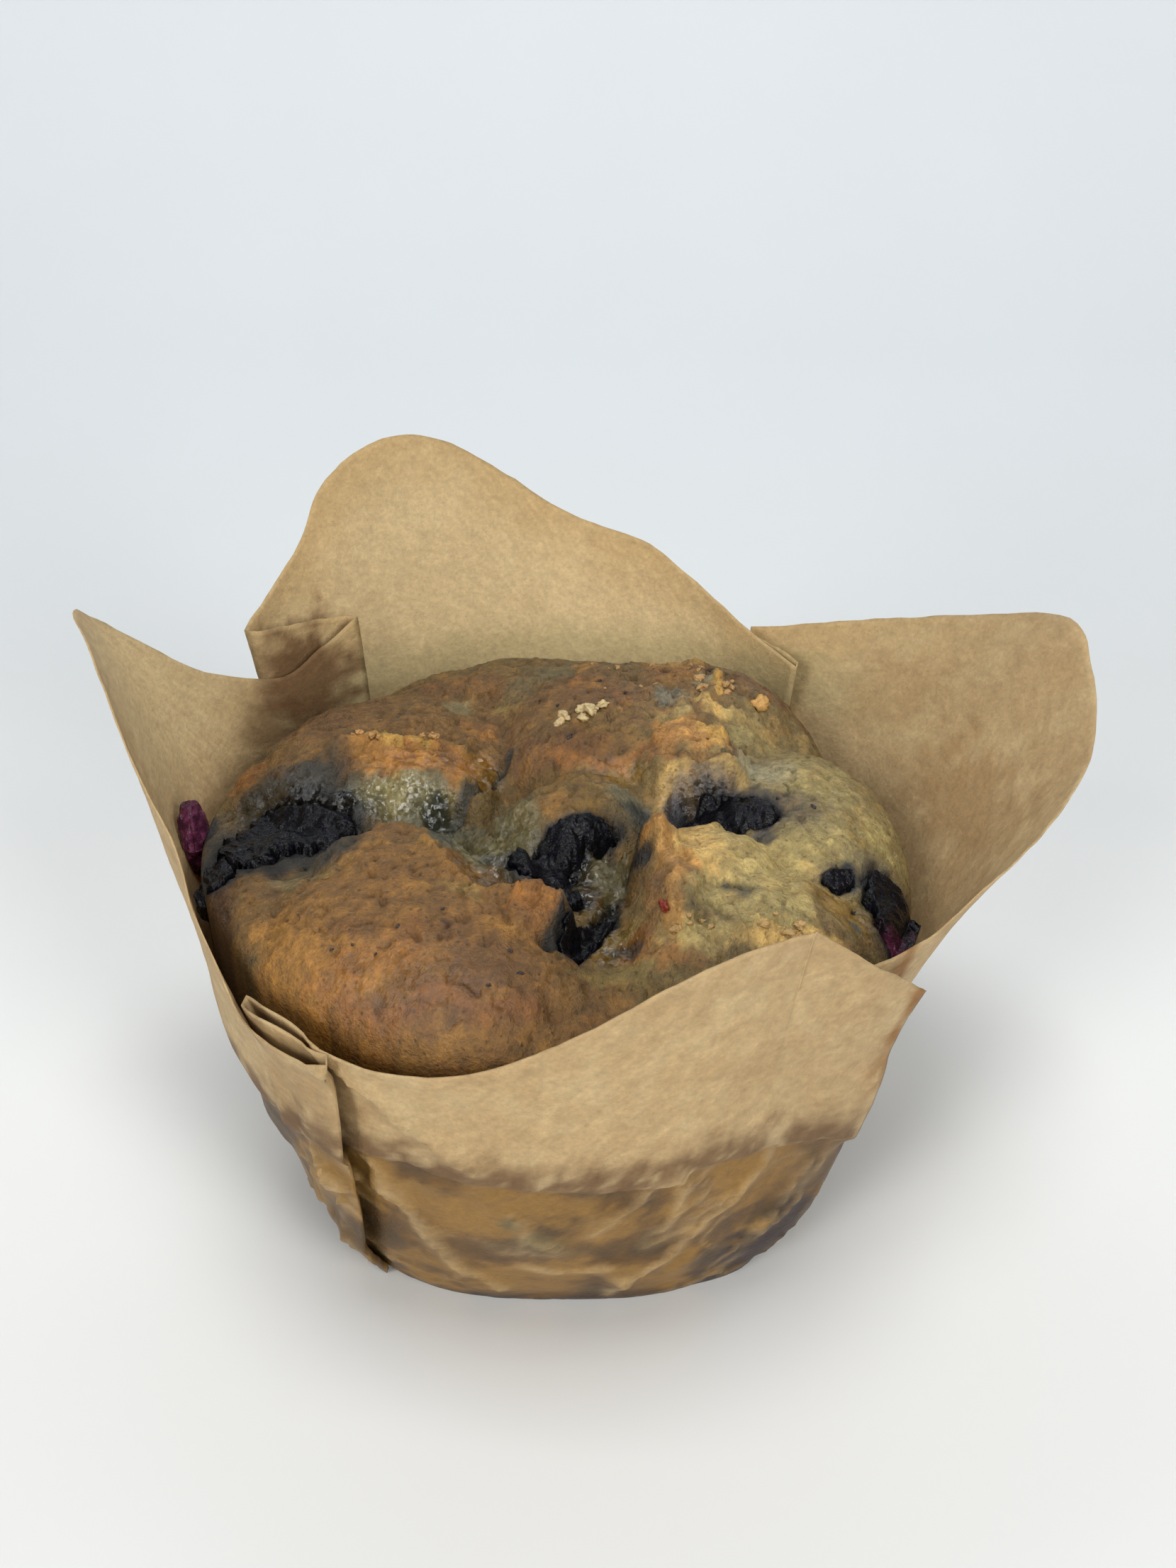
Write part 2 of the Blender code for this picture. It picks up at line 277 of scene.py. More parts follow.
def buildStudio():
    scene = bpy.context.scene
    scene.view_settings.view_transform = "Standard"
    camera = bpy.data.objects.new("camera", bpy.data.cameras.new("camera"))
    scene.collection.objects.link(camera)
    camera.location = Vector(studio["cameraAt"]) * mm
    camera.rotation_euler = (math.radians(90.0 - studio["cameraDown"]), 0.0, 0.0)
    camera.data.sensor_width = 36.0
    camera.data.lens = studio["lens"]
    camera.data.clip_start = 0.005
    scene.camera = camera
    for name, (place, (width, tall), watts, tone) in studio["lights"].items():
        light = bpy.data.lights.new(name, "AREA")
        light.shape = "RECTANGLE"
        light.size = width * mm
        light.size_y = tall * mm
        light.energy = watts
        light.color = tone
        lamp = bpy.data.objects.new(name, light)
        scene.collection.objects.link(lamp)
        lamp.location = Vector(place) * mm
        lamp.rotation_euler = (-lamp.location).to_track_quat("-Z", "Y").to_euler()
    world = bpy.data.worlds.new("studio_air")
    world.use_nodes = True
    air = world.node_tree.nodes["Background"]
    air.inputs["Color"].default_value = (*studio["ambient"], 1.0)
    air.inputs["Strength"].default_value = studio["ambientPower"]
    scene.world = world
    buildSweep()


def buildSweep():
    bm = bmesh.new()
    rows = 96
    bmesh.ops.create_grid(bm, x_segments=8, y_segments=rows, size=0.5)
    start, turn, up = studio["sweepFrom"], studio["sweepRound"], studio["sweepUp"]
    for vert in bm.verts:
        x = vert.co.x * 2.0 * studio["sweepHalfWidth"]
        row = (vert.co.y + 0.5) * 4.0
        y = studio["sweepFront"] + (start - studio["sweepFront"]) * min(row, 1.0)
        z = 0.0
        if row > 1.0:
            angle = min(row - 1.0, 2.0) / 2.0 * math.pi / 2.0
            y = start + turn * math.sin(angle)
            z = turn * (1.0 - math.cos(angle))
        if row > 3.0:
            z = turn + (up - turn) * (row - 3.0)
        vert.co = Vector((x, y, z)) * mm
    bmesh.ops.recalc_face_normals(bm, faces=bm.faces)
    shader = Shader("pale_sweep")
    shader.set(Roughness=0.75)
    parts = shader.add("ShaderNodeSeparateXYZ")
    shader.link(shader.place, parts.inputs["Vector"])
    # painted shade: darker behind the muffin, ramping from 70 to 300 mm, where its shadows fall
    away = shader.span(parts.outputs["Y"], 0.07, 0.30, 0.0, 1.0)
    tone = shader.mix(away, screenTone(*studio["floorTone"]), screenTone(*studio["backdropTone"]))
    mottle = shader.span(shader.noise(60.0, 2.0), 0.3, 0.7, 0.985, 1.0)
    shader.feed("Base Color", shader.tint(tone, mottle))
    makeObject("sweep", bm, shader.material)


# The cup that the paper and the cake share: square where it stands, round at its rim.
cup = {
    "baseHalf": 25.8, "squareness": 2.8, "rim": 38.9, "rimHeight": 42.0,
    "bowl": 2.2, "roundFrom": 24.0,
}


def cupRadius(azimuth, height):
    rise = np.clip(height / cup["rimHeight"], 0.0, 1.0)
    roundPart = cup["rim"] - (cup["rim"] - cup["baseHalf"]) * (1.0 - rise) ** cup["bowl"]
    power = cup["squareness"]
    across = np.abs(np.cos(azimuth)) ** power + np.abs(np.sin(azimuth)) ** power
    corner = cup["baseHalf"] * (across ** (-1.0 / power) - 1.0)
    return roundPart + corner * (1.0 - smooth(0.0, cup["roundFrom"], height))


# The cake. Its crown is a fine grid drawn out to a disc, raised by lobes that run
# into one another, then torn, creased and pitted.
crown = {
    "cells": 284,
    "wallRows": 7,
    "gap": 0.7,                 # from the outside of the paper to the cake
    "rimHeight": 42.5,
    "rimRise": 3.0,
    "riseAzimuth": 150.0,
    "edgeRounding": 7.0,
    "valleyHeight": 45.2,
    "lobeDrop": 6.0,
    "lobeBlend": 0.5,
    "lumpHeight": 0.5,
    "lumpSize": 5.0,
    "warp": 1.3,                # how far noise bends the outlines of lobes and stains
    "fineWarp": 0.7,            # and those of crests and cracks
    "crackFall": 0.8,           # below 1, cracks keep more of their depth near their edges
    "pocketDepth": 1.7,
    "pocketRagged": 0.30,
    "edgeKept": 0.94,           # from here to the rim the fine relief fades out
    "grit": (0.18, 0.13),       # fine relief everywhere, and more where the crust is torn
    "gritSize": 1.2,
    "pitSize": 1.3,
    "pitDepth": 0.48,
    "wetSmoothing": 0.55,
    "shreds": 0.60,
    "waves": (0.20, 0.16),
    "toneShare": (0.60, 0.525, 0.25),       # the tones below are as seen in full light, and the right side is painted paler, as painted light
    "litRightShare": (0.80, 0.785, 0.61),      # and the right side reads paler
    "goldPatches": 0.30,
    "brownPatches": 0.34,
    "mottle": (0.26, 0.22),     # slow and fine
    "pitShade": 0.22,
    "gritLight": 0.14,
    "juiceRim": 0.50,           # slate round each berry, then ink against it
    "juice": 0.97,
}

# x, y and height of each crest, its reach along and across, its turn, and how square
# its shoulders are
lobes = {
    "frontLeftDome": (-14, -25, 50.3, 18, 18, 0, 3),
    "frontLeftRidge": (-13, -15, 50.3, 13, 7.6, -8, 5),
    "frontLeftKnuckle": (-17.5, -10, 49.6, 4.6, 4, 0, 3),
    "frontLeftTip": (-2.4, -23, 50, 4.6, 5.4, 60, 5),
    "leftShoulder": (-31, -21, 47.6, 10, 14, 0, 3),
    "backLeftDome": (-21, 12, 52, 19, 16, 0, 3),
    "backLeftLip": (-18, 3, 51.2, 11, 4.6, -12, 5),
    "middle": (2, -3, 50.8, 9.5, 8, 20, 3),
    "backRightDome": (8, 16, 54.2, 18, 17, 0, 3),
    "backRightKnob": (14.5, 3.4, 53.6, 7, 6, 0, 4),
    "backEdge": (-4, 27, 52.8, 22, 12, 0, 3),
    "backRightEdge": (19, 22, 54.6, 12, 13, 0, 3),
    "rightDome": (27, 0, 50.2, 14, 17, 0, 3),
    "frontRightDome": (18, -24, 50, 13, 15, 0, 3),
    "frontRightRidge": (11.4, -20.5, 51.2, 9.5, 4.2, -80, 3),
    "peakSlope": (15, -14, 50.8, 8, 8, -30, 3),
    "peak": (9.8, -13.2, 52, 3.8, 3.6, 0, 3),
}

# raised crests (plus) and cracks (minus): points along each, its half width and height
crests = {
    "peakFin": ([(9.4, -12.2), (10.2, -14)], 1.5, 0.9),
    "peakRidge": ([(10.2, -14), (11, -19), (10.8, -24), (11.3, -26.5)], 1.3, 0.6),
    "domeEdge": ([(-14, -11.5), (-11.4, -15.6), (-9.4, -19.4), (-6, -22), (-3.4, -22.6)], 1, 0.5),
    "tipFin": ([(-3.4, -22.6), (-1.5, -21.8), (0.6, -23.6)], 1, 0.8),
    "tipSide": ([(0.6, -23.6), (1.4, -24.8)], 0.9, 0.5),
    "shoulderFold": ([(-27, -19.5), (-25.5, -23), (-27, -27.5)], 1, -0.55),
    "lipCrest": ([(-25, 4.4), (-22.5, 6), (-18, 5.4), (-14.5, 6), (-10.5, 5.4)], 1.4, 1),
    "lipFoot": ([(-25, 0.4), (-20, -0.6), (-15, -0.8), (-11, 0.4)], 1, -0.6),
    "tealCrack": ([(-6, 7), (-7.2, 4.4), (-9, 0.4), (-10.9, -1.5), (-14.3, -2.6)], 0.7, -1.1),
    "tealValley": ([(-11.8, -5), (-9, -9.8), (-7.4, -14.4), (-6.4, -18.6)], 3.8, -2),
    "knobCrest": ([(10.6, 4.4), (13.5, 6.4), (17.2, 5.4)], 2, 0.5),
    "knobFoot": ([(9.6, 4.2), (11.2, 1.6), (13.6, 0.6), (16.9, 0.4)], 0.8, -0.6),
    "knobCrack": ([(18, 0.8), (19, 2.6), (19.4, 6.2), (20.6, 7)], 0.8, -1.1),
    "kneeCrest": ([(10.5, 7.4), (14.8, 10.4), (17.6, 12), (20.2, 12)], 1.1, 0.6),
    "kneeStep": ([(16.6, 13.4), (19, 15.4), (18.4, 19.5)], 1.4, 0.8),
    "backHole": ([(17.4, 20.6), (17.8, 22.6)], 0.9, -1.8),
    "slopePit": ([(16.6, -19.4), (17.9, -20.2)], 0.9, -0.9),
    "slopeNick": ([(24.3, -1.6), (24, -0.4)], 0.5, -0.5),
    "domeCrater": ([(-9.8, -26.4), (-9.5, -26.6)], 0.5, -0.6),
    "frontCrater": ([(-7.4, -32.6), (-6.8, -32.9)], 0.9, -0.5),
    "leftBump": ([(-35.4, 5.4), (-36, 7.2)], 1.8, 0.9),
    "centreCrack": ([(-0.4, -26.4), (1.6, -25.8), (3.6, -22.6), (5, -18.6), (5.9, -16.2)], 1.5, -1.3),
    "darkCleft": ([(8.9, -15.8), (7.3, -14.6), (8.6, -10.4)], 0.9, -1.3),
    "lumpLight": ([(4, -12), (4.4, -10.4)], 1.9, 1.1),
}

crustTones = {
    "gold": (180, 134, 74), "tan": (150, 112, 66), "orange": (170, 118, 64),
    "brightOrange": (193, 141, 81), "yellow": (226, 180, 100), "brown": (124, 86, 48),
    # edge: a dark brown, used as painted shade in cracks, a hole, a crater and along the paper
    "dark": (110, 76, 44), "edge": (80, 52, 32), "red": (148, 98, 56),
    "greyBrown": (131, 102, 64), "cream": (194, 172, 120), "paleOlive": (164, 147, 102),
    "olive": (124, 104, 66), "yellowCrumb": (140, 112, 62), "greyGreen": (123, 122, 118),
    "pale": (163, 161, 156), "teal": (88, 97, 110), "deepTeal": (42, 51, 64),
    "slate": (52, 53, 63), "ink": (18, 19, 28), "violet": (40, 29, 50),
    "creamRim": (218, 180, 116), "greyLump": (120, 118, 118), "mud": (82, 79, 68),
}

# x, y, reach along and across, turn, tone, strength, and how soft its outline is where
# that is not the usual 0.5
crustSpots = [
    (0, 0, 60, 60, 0, "olive", 1), (-18, 14, 17, 12, 0, "greyBrown", 1, 0.4),
    (-28, 16, 6, 9, 20, "brown", 0.6), (-20, 10, 7, 2.2, 0, "tan", 0.5, 0.6),
    (-30, 7, 5, 3, 0, "tan", 0.5, 0.6), (-9.5, 11, 2, 2.4, 0, "orange", 0.7),
    (-2.4, 13.5, 1.3, 2, 0, "orange", 0.7), (-12.5, 17, 1.3, 2.6, 0, "pale", 0.6, 0.6),
    (-7, 16.5, 1.2, 2.2, 40, "cream", 0.7), (-6, 12, 3, 3, 0, "brown", 0.5, 0.6),
    (-12, 22, 8, 2.6, -10, "brown", 0.6), (-13.5, 9.5, 5, 2.4, 30, "tan", 0.6, 0.6),
    (-4, 8.5, 3.4, 3.4, 0, "brown", 0.5, 0.6), (-1, 22, 4, 4, 0, "greyGreen", 0.7, 0.6),
    (-5, 18.5, 2.5, 3, 0, "greyGreen", 0.5, 0.6), (8, 15, 14, 9, 0, "greyBrown", 0.9, 0.4),
    (3, 15, 6, 4.5, 0, "brown", 0.6, 0.6), (7.5, 13, 2.4, 2.4, 0, "red", 0.5, 0.6),
    (2, 17, 1, 2, 0, "orange", 0.7), (13.5, 22, 4.6, 5, 0, "orange", 0.6, 0.6),
    (13, 26, 4, 4, 0, "creamRim", 0.5, 0.6), (3, 24, 1.5, 3, 0, "gold", 0.8),
    (8, 24, 2, 5, 0, "olive", 0.6, 0.6), (17, 17.5, 1.8, 1.8, 20, "pale", 0.75),
    (12.6, 13.6, 1.8, 2.6, 0, "greyGreen", 0.8), (24, 21, 4.4, 5, 20, "brown", 0.8),
    (22, 17, 4, 3, 0, "greyBrown", 0.7), (17.3, 11.8, 3.4, 1.5, -22, "creamRim", 0.9, 0.4),
    (12.4, 8.8, 2.6, 1, 30, "cream", 0.7), (22, 11.6, 3, 1.3, 0, "cream", 0.6),
    (3.4, 6.6, 5.5, 1.1, -8, "yellowCrumb", 0.6, 0.6), (0, 4.6, 8.5, 3, -4, "brown", 0.9),
    (2.5, 0, 6.5, 3.2, 0, "yellowCrumb", 0.95, 0.4), (0.5, -5, 5.5, 3.2, 10, "yellowCrumb", 0.9, 0.4),
    (-2, -6.2, 2.4, 1.5, 0, "gold", 0.8), (7.6, -3.4, 3.4, 2.8, -30, "greyGreen", 0.85),
    (-4.4, -6.4, 2.8, 6, 12, "greyGreen", 0.85, 0.6), (28, -1, 12, 15, 0, "paleOlive", 1, 0.35),
    (34, 5, 3.5, 9, 8, "olive", 0.6, 0.6), (22, 3, 4, 4, 0, "pale", 0.5, 0.6),
    (29, 12, 7, 5, 0, "olive", 0.6, 0.6), (26.5, -7, 6, 4, 10, "olive", 0.5, 0.7),
    (24, 6.5, 2.4, 3.6, 0, "olive", 0.4, 0.7), (14.4, 4.6, 4.6, 4, 0, "brightOrange", 0.95, 0.25),
    (16.8, 5.2, 1.4, 3.2, 0, "yellow", 0.8), (11.2, 2.6, 1.8, 2.2, 30, "orange", 0.7, 0.6),
    (15, -0.9, 5, 1.3, 3, "creamRim", 0.7), (-17, 3.2, 8.8, 3.5, -4, "brightOrange", 0.95, 0.3),
    (-17.5, 6.2, 6, 1, 0, "creamRim", 0.9), (-23.3, 3, 2.8, 2.6, 20, "gold", 0.8),
    (-12.2, 3.6, 1.7, 1.5, 0, "brown", 0.7), (-17, 4, 1.2, 1.1, 0, "orange", 0.8),
    (-10.6, 2.4, 1.2, 2.2, -20, "orange", 0.9), (-15, 1.2, 5, 0.9, 0, "orange", 0.7, 0.6),
    (-36, 6.4, 2.6, 3, 0, "orange", 0.9), (-31.5, 3.6, 3, 1.6, 0, "tan", 0.7, 0.6),
    (-19, -2, 8.5, 2, 1, "greyGreen", 0.95, 0.4), (-19.5, -0.8, 7, 0.9, 1, "pale", 0.75),
    (-12, -3.4, 4.8, 1.9, 4, "teal", 0.75), (-17, -9, 6.4, 5.2, 0, "tan", 0.95, 0.3),
    (-18.5, -7, 2.6, 2.2, 0, "yellowCrumb", 0.7, 0.6), (-8.4, -10.5, 9.5, 3.8, -69, "greyGreen", 1, 0.3),
    (-7.6, -8.5, 5, 1.3, -75, "pale", 0.45, 0.6), (-11.8, -10.5, 4.4, 1.5, -66, "teal", 0.85),
    (-7.4, -17.5, 2, 3.6, 20, "mud", 0.8), (-6.2, -20, 3.6, 1.6, -25, "deepTeal", 0.8),
    (-29.5, -19, 6, 6, 0, "greyBrown", 1, 0.4), (-33.5, -15.5, 2.5, 2.5, 0, "dark", 0.7),
    (-22.5, -17.6, 3.8, 1.4, -50, "cream", 0.6, 0.6), (-25.5, -16, 3.4, 1.6, -38, "greyGreen", 0.7),
    (-14, -25.5, 14.5, 11, 0, "tan", 1, 0.22), (-8, -32, 17, 7, -6, "tan", 1, 0.25),
    (-18, -29, 8, 5, -20, "gold", 0.6), (-8, -33, 9, 2.6, -4, "brown", 0.55, 0.6),
    (-13.5, -17.6, 8, 3.4, -8, "tan", 0.9, 0.35), (-23.6, -27.5, 3, 4, 0, "gold", 0.9, 0.6),
    (-26.4, -24, 2, 2.6, 20, "gold", 0.8), (-17.2, -26.4, 3.6, 1.7, -4, "brown", 0.7, 0.7),
    (-12.6, -26.9, 2, 1.3, 0, "red", 0.6, 0.6), (-9.5, -28.2, 5, 2.6, -6, "brown", 0.6, 0.7),
    (-5, -26.4, 3, 1.6, -10, "gold", 0.6, 0.6), (-14.5, -30, 4, 1.8, -8, "orange", 0.7, 0.7),
    (-18.5, -31.2, 4, 2.2, -30, "orange", 0.8, 0.6), (-5, -31.4, 4.4, 3, 0, "dark", 0.6, 0.6),
    (-11, -34.4, 6, 1.4, -10, "brown", 0.75, 0.6), (2.5, -30.5, 3, 3.4, 0, "greyBrown", 0.7),
    # the edge spot on this line is painted shade along the paper
    (-20.5, -33.6, 9, 1.3, -38, "edge", 0.4, 0.6), (-1.8, -23.8, 3, 2.2, 50, "orange", 0.95, 0.35),
    (-3.6, -25.4, 2.4, 1.3, 10, "tan", 0.7, 0.6), (-9.2, -21.6, 2.6, 1.1, -20, "cream", 0.55),
    (-14.6, -21.4, 4, 1.6, 0, "gold", 0.45, 0.6), (19, -16, 8, 9, 0, "cream", 0.95, 0.3),
    (14, -8.5, 4.5, 2.4, -65, "creamRim", 0.7), (18, -22.5, 6, 3, 5, "paleOlive", 0.8, 0.4),
    # the mud spot on this line is painted shade in the slope's pit
    (17.3, -20.6, 1.6, 1.1, -30, "mud", 0.9), (27.5, -18.2, 3.4, 3.4, 30, "yellowCrumb", 0.9, 0.4),
    (28.4, -19.6, 1, 0.7, 40, "teal", 0.8), (21.5, -25.6, 6, 1.2, 14, "creamRim", 0.9, 0.4),
    (26, -9.5, 4, 3, 0, "paleOlive", 0.8), (12.6, -15, 3.4, 4.4, 0, "creamRim", 0.85, 0.45),
    (10.2, -13.8, 1.5, 2.6, 0, "gold", 0.9, 0.4), (9.2, -12.6, 0.9, 2.2, 0, "orange", 0.9),
    (12.2, -12.4, 1.6, 2, 20, "creamRim", 0.7), (7.8, -17.6, 2, 2.6, 0, "greyBrown", 0.8),
    (9, -21.4, 3.4, 1.5, -80, "brown", 0.8, 0.6), (9.5, -27.6, 4, 1.3, -24, "orange", 0.75),
    (13, -27, 3, 1.4, 0, "cream", 0.7), (7.4, -25.6, 1.6, 1.3, -30, "red", 0.7, 0.6),
    (5.5, -28.6, 3.6, 1.6, 0, "paleOlive", 0.7), (12, -18.8, 3.8, 1.6, -86, "brightOrange", 0.9),
    (24.2, -6, 4.4, 3.4, 0, "slate", 0.50, 0.8), (18.6, -2.5, 6, 1.7, -6, "violet", 0.7, 0.6),
    (21, -9, 1.5, 1.1, -40, "slate", 0.85), (14.6, -3.9, 4, 1.8, -10, "violet", 0.95, 0.4),
    (11.8, -2.6, 1.4, 0.9, -30, "violet", 0.7, 0.6), (8.6, -4.6, 1.2, 2.2, -40, "deepTeal", 0.85, 0.6),
    (-30, -7, 8.2, 6, 0, "slate", 0.95, 0.45), (-22.8, -11.6, 3.8, 3.6, -50, "slate", 0.9, 0.4),
    (-25.6, -12.6, 2.6, 1.2, -60, "mud", 0.6, 0.6), (-33, 0.8, 3.4, 3, -8, "slate", 0.85, 0.6),
    (-27, 1.6, 5.6, 3, -12, "slate", 0.9), (-26, 4, 3, 2, 0, "slate", 0.7, 0.6),
    (-28.4, -4, 7.6, 4.8, 5, "ink", 0.95, 0.35), (-34.4, -9, 2.6, 5.6, 8, "ink", 0.95, 0.4),
    (-28.8, -12, 1.2, 2.8, 12, "ink", 0.8), (-2.4, -17, 3.8, 1.3, -24, "ink", 0.92),
    (0.6, -13.4, 4.2, 5.6, -10, "slate", 0.8, 0.4), (-1.6, -13.6, 2.8, 4.4, -30, "ink", 0.9, 0.4),
    (3.4, -8, 3.2, 1.2, 10, "ink", 0.9, 0.35), (4.6, -11.6, 1.9, 2.9, 0, "greyLump", 0.97, 0.4),
    (5.6, -14.6, 1.2, 1.8, 0, "greyGreen", 0.8),
]

# long marks on the crust: points (or the crest they follow), half width, tone, strength
crustMarks = [
    ("tealCrack", 0.7, "deepTeal", 0.85),
    ([(-9.4, -8.6), (-7.4, -12), (-5.4, -15.2), (-3.6, -16.8)], 1.1, "deepTeal", 0.65),
    ([(-1, 4.9), (2.6, 2.9), (6.8, 2), (8.6, 3.8)], 1, "orange", 0.8),
    # painted shade: these darken the knob's foot crease, its crack and a hole
    ([(9.6, 4.2), (11.2, 1.4), (13.6, 0.4), (16.9, 0.2)], 0.6, "brown", 0.7),
    ("knobCrack", 0.6, "edge", 0.8),
    ("backHole", 0.8, "edge", 0.95),
    ([(18.2, 14.4), (18.8, 19)], 0.6, "yellow", 0.8),
    ([(10.3, -14.4), (11, -19), (10.8, -24), (11.3, -26)], 1.1, "brightOrange", 0.6),
    ([(8.9, -15.8), (7.3, -14.6)], 0.8, "ink", 0.95), ([(7.6, -14), (8.4, -10.8)], 0.6, "ink", 0.8),
    ([(-0.6, -26.6), (1.6, -25.9), (3.6, -22.6), (5, -18.6), (5.9, -16.2)], 1.15, "ink", 0.95),
    ([(4.6, -25.4), (6.4, -25), (7.6, -26.2)], 0.6, "slate", 0.8),
    ([(-14, -11.5), (-11.4, -15.6), (-9.4, -19.4), (-6, -22.2)], 0.7, "gold", 0.45),
    # painted shade along the paper at the left
    ([(-34, -12.5), (-33, -17), (-31, -22)], 1.1, "edge", 0.7),
    ([(-17.6, -33.2), (-14, -35), (-8.5, -33.4), (-6.6, -34.7), (-2, -33.8)], 1, "red", 0.6),
    # painted shade: these darken two craters and a nick
    ([(-9.8, -26.2), (-9.4, -26.7)], 0.5, "edge", 0.9),
    ([(-7.6, -32.5), (-6.6, -33)], 0.8, "dark", 0.8),
    ("slopeNick", 0.4, "mud", 0.8),
    ([(10.4, -12.2), (11.6, -12.6)], 0.6, "dark", 0.45),
]

# places that stay wet and glossy: x, y, reach along and across, turn, strength
wetSpots = [
    (-18, -1.4, 10, 2.6, 0, 1), (-8.4, -11.5, 11, 4, -69, 1), (-30, -2, 9, 6, 0, 0.8), (2, -14, 7, 8, 0, 1),
    (14.5, -1.8, 6, 1.5, 4, 0.75), (18.5, -6, 5, 4, 0, 0.9), (5, -24.5, 3.5, 4, 0, 1),
    (5.5, 1.6, 5.5, 2, -10, 0.7), (-13, -32, 12, 5, -10, 0.48), (28, -17, 5, 5, 0, 0.6),
    (-15, 2.4, 8, 2.4, 0, 0.7), (30, -6, 7, 7, 0, 0.4), (-8.5, 3.6, 2.6, 4, 0, 0.9),
    (-4.6, -9, 4, 7, 10, 0.8),
]

# places where the crust is torn and crumbly
tornSpots = [
    (-17, 4.5, 9, 3, -4, 1), (-10, 11, 6, 6, 0, 0.7), (14.5, 5, 5.5, 5, 0, 0.7), (15, 16, 8, 8, 0, 1),
    (12, 26, 9, 5, 0, 0.7), (11, -17, 3.5, 8, 0, 0.6), (-7, -20.5, 6, 2, -25, 0.9),
    (21, -25, 8, 2.2, 10, 0.9), (-2, 20, 16, 5, 0, 0.6), (-29, -22, 5, 5, 0, 0.5), (5, 8, 6, 4, 0, 0.6),
    (2, -4, 7, 5, 0, 0.4), (26, -4, 9, 12, 0, 0.35),
]

# node name: half sizes, turn, how far its top stands over the crust, its finish, how
# far it leans from its node's middle, and the openings it shows through (x, y, reach
# along and across, turn)
berries = {
    "berry_left_large": ((8.4, 6, 3.9), 5, 0.9, "skin", (0, 0, 0),
                         [(-28, -3.9, 6.7, 3.9, 6), (-32.4, -7, 3.6, 3.4, 0)]),
    "berry_left_low": ((2.6, 3.8, 3.8), 0, 0.3, "skin", (0, 0, 0), [(-34.6, -11.6, 1.7, 3.2, 10)]),
    "berry_left_edge": ((1.7, 2.9, 4.6), 8, 3.4, "flesh", (-0.9, -0.4, -1.3),
                        [(-39.6, -2.2, 2.1, 3.2, 8)]),
    "berry_centre": ((6.8, 4.6, 5), 40, 0.3, "skin", (0, 0, 0),
                     [(0.4, -9.6, 3, 1.8, 30), (3.7, -7.9, 2.8, 1.2, 8),
                      (-1.2, -12.6, 2.7, 3.4, -24), (-2.6, -14.8, 2.8, 1.9, 35)]),
    "berry_centre_small": ((2.3, 1.9, 2.1), 0, 0.6, "skin", (0, 0, 0), [(0.9, -16.8, 1.8, 1.5, 0)]),
    "berry_front": ((5.8, 2.8, 4.6), 62, 0.1, "skin", (0, 0, 0),
                    [(2.2, -24.4, 2.8, 1.4, 52), (4.2, -20.8, 3.4, 1.1, 68)]),
    "berry_upper_right": ((6.6, 4.2, 5.4), -8, 0.35, "skin", (0, 0, 0),
                          [(17.2, -4.9, 5.2, 3, -4), (21, -6.2, 2.2, 1.8, 10)]),
    "berry_right_skin": ((2.6, 2.1, 2.1), 20, 0.4, "skin", (0, 0, 0),
                         [(28.4, -13.4, 1.6, 1.1, 25), (27.4, -14.2, 1.3, 0.9, 0)]),
    "berry_right_edge": ((3.8, 4.8, 4.8), 27, 0.9, "flesh", (0, 0, 0),
                         [(34.2, -14.4, 3.3, 4.4, 27), (34.4, -17.6, 2.8, 3.4, 10)]),
}


# how a berry is pressed under the crust, and how far the paper beside it leans outward
flesh = {
    "ragged": 0.40, "pressed": 0.92, "wrinkles": (0.12, 0.07), "leanFrom": 36.0,
    "lean": 0.12, "leanLeft": 0.19,
}


def berryMiddle(name):
    low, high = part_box(name)
    return (low + high) / 2.0 / mm + Vector(berries[name][4])


def rimHeight(azimuth):
    lift = np.cos(azimuth - math.radians(crown["riseAzimuth"]))
    return crown["rimHeight"] + crown["rimRise"] * lift


def lobeHeights(x, y):
    heights = [np.full(x.shape, crown["valleyHeight"])]
    for middleX, middleY, crest, along, across, turn, squareness in lobes.values():
        away = ellipseAway(x, y, (middleX, middleY, along, across, turn))
        heights.append(crest - crown["lobeDrop"] * away ** squareness)
    heights = np.array(heights)
    tallest = heights.max(0)
    blend = crown["lobeBlend"]
    return tallest + blend * np.log(np.exp((heights - tallest) / blend).sum(0))


def spotShare(x, y, spots, strengthAt, ragged):
    most = np.zeros(x.shape)
    for spot in spots:
        away = ellipseAway(x, y, spot) + ragged
        most = np.maximum(most, (1.0 - smooth(0.4, 1.1, away)) * spot[strengthAt])
    return most


def crustHeight(x, y):      # the crust before berries are pressed into it
    ground = flat(x, y)
    warpX = x + crown["warp"] * grain(ground, crown["lumpSize"], 4, 3.0)
    warpY = y + crown["warp"] * grain(ground, crown["lumpSize"], 4, 8.0)
    height = lobeHeights(warpX, warpY)
    height += crown["lumpHeight"] * grain(ground, crown["lumpSize"], 1)
    fineX = x + crown["fineWarp"] * grain(ground, 1.8, 3, 12.0)
    fineY = y + crown["fineWarp"] * grain(ground, 1.8, 3, 17.0)
    for line, halfWidth, rise in crests.values():
        near = 1.0 - smooth(0.0, 1.0, strokeAway(fineX, fineY, line) / halfWidth)
        height += rise * near ** (1.0 if rise > 0 else crown["crackFall"])
    torn = spotShare(x, y, tornSpots, 5, 0.25 * grain(ground, 2.0, 2, 21.0))
    shreds = 1.0 - 2.0 * np.abs(grain(ground, 2.6, 4, 25.0))
    height += torn * crown["shreds"] * shreds
    waves, wavesTorn = crown["waves"]
    height += (waves + wavesTorn * torn) * grain(ground, 2.4, 4, 30.0)
    return height, torn


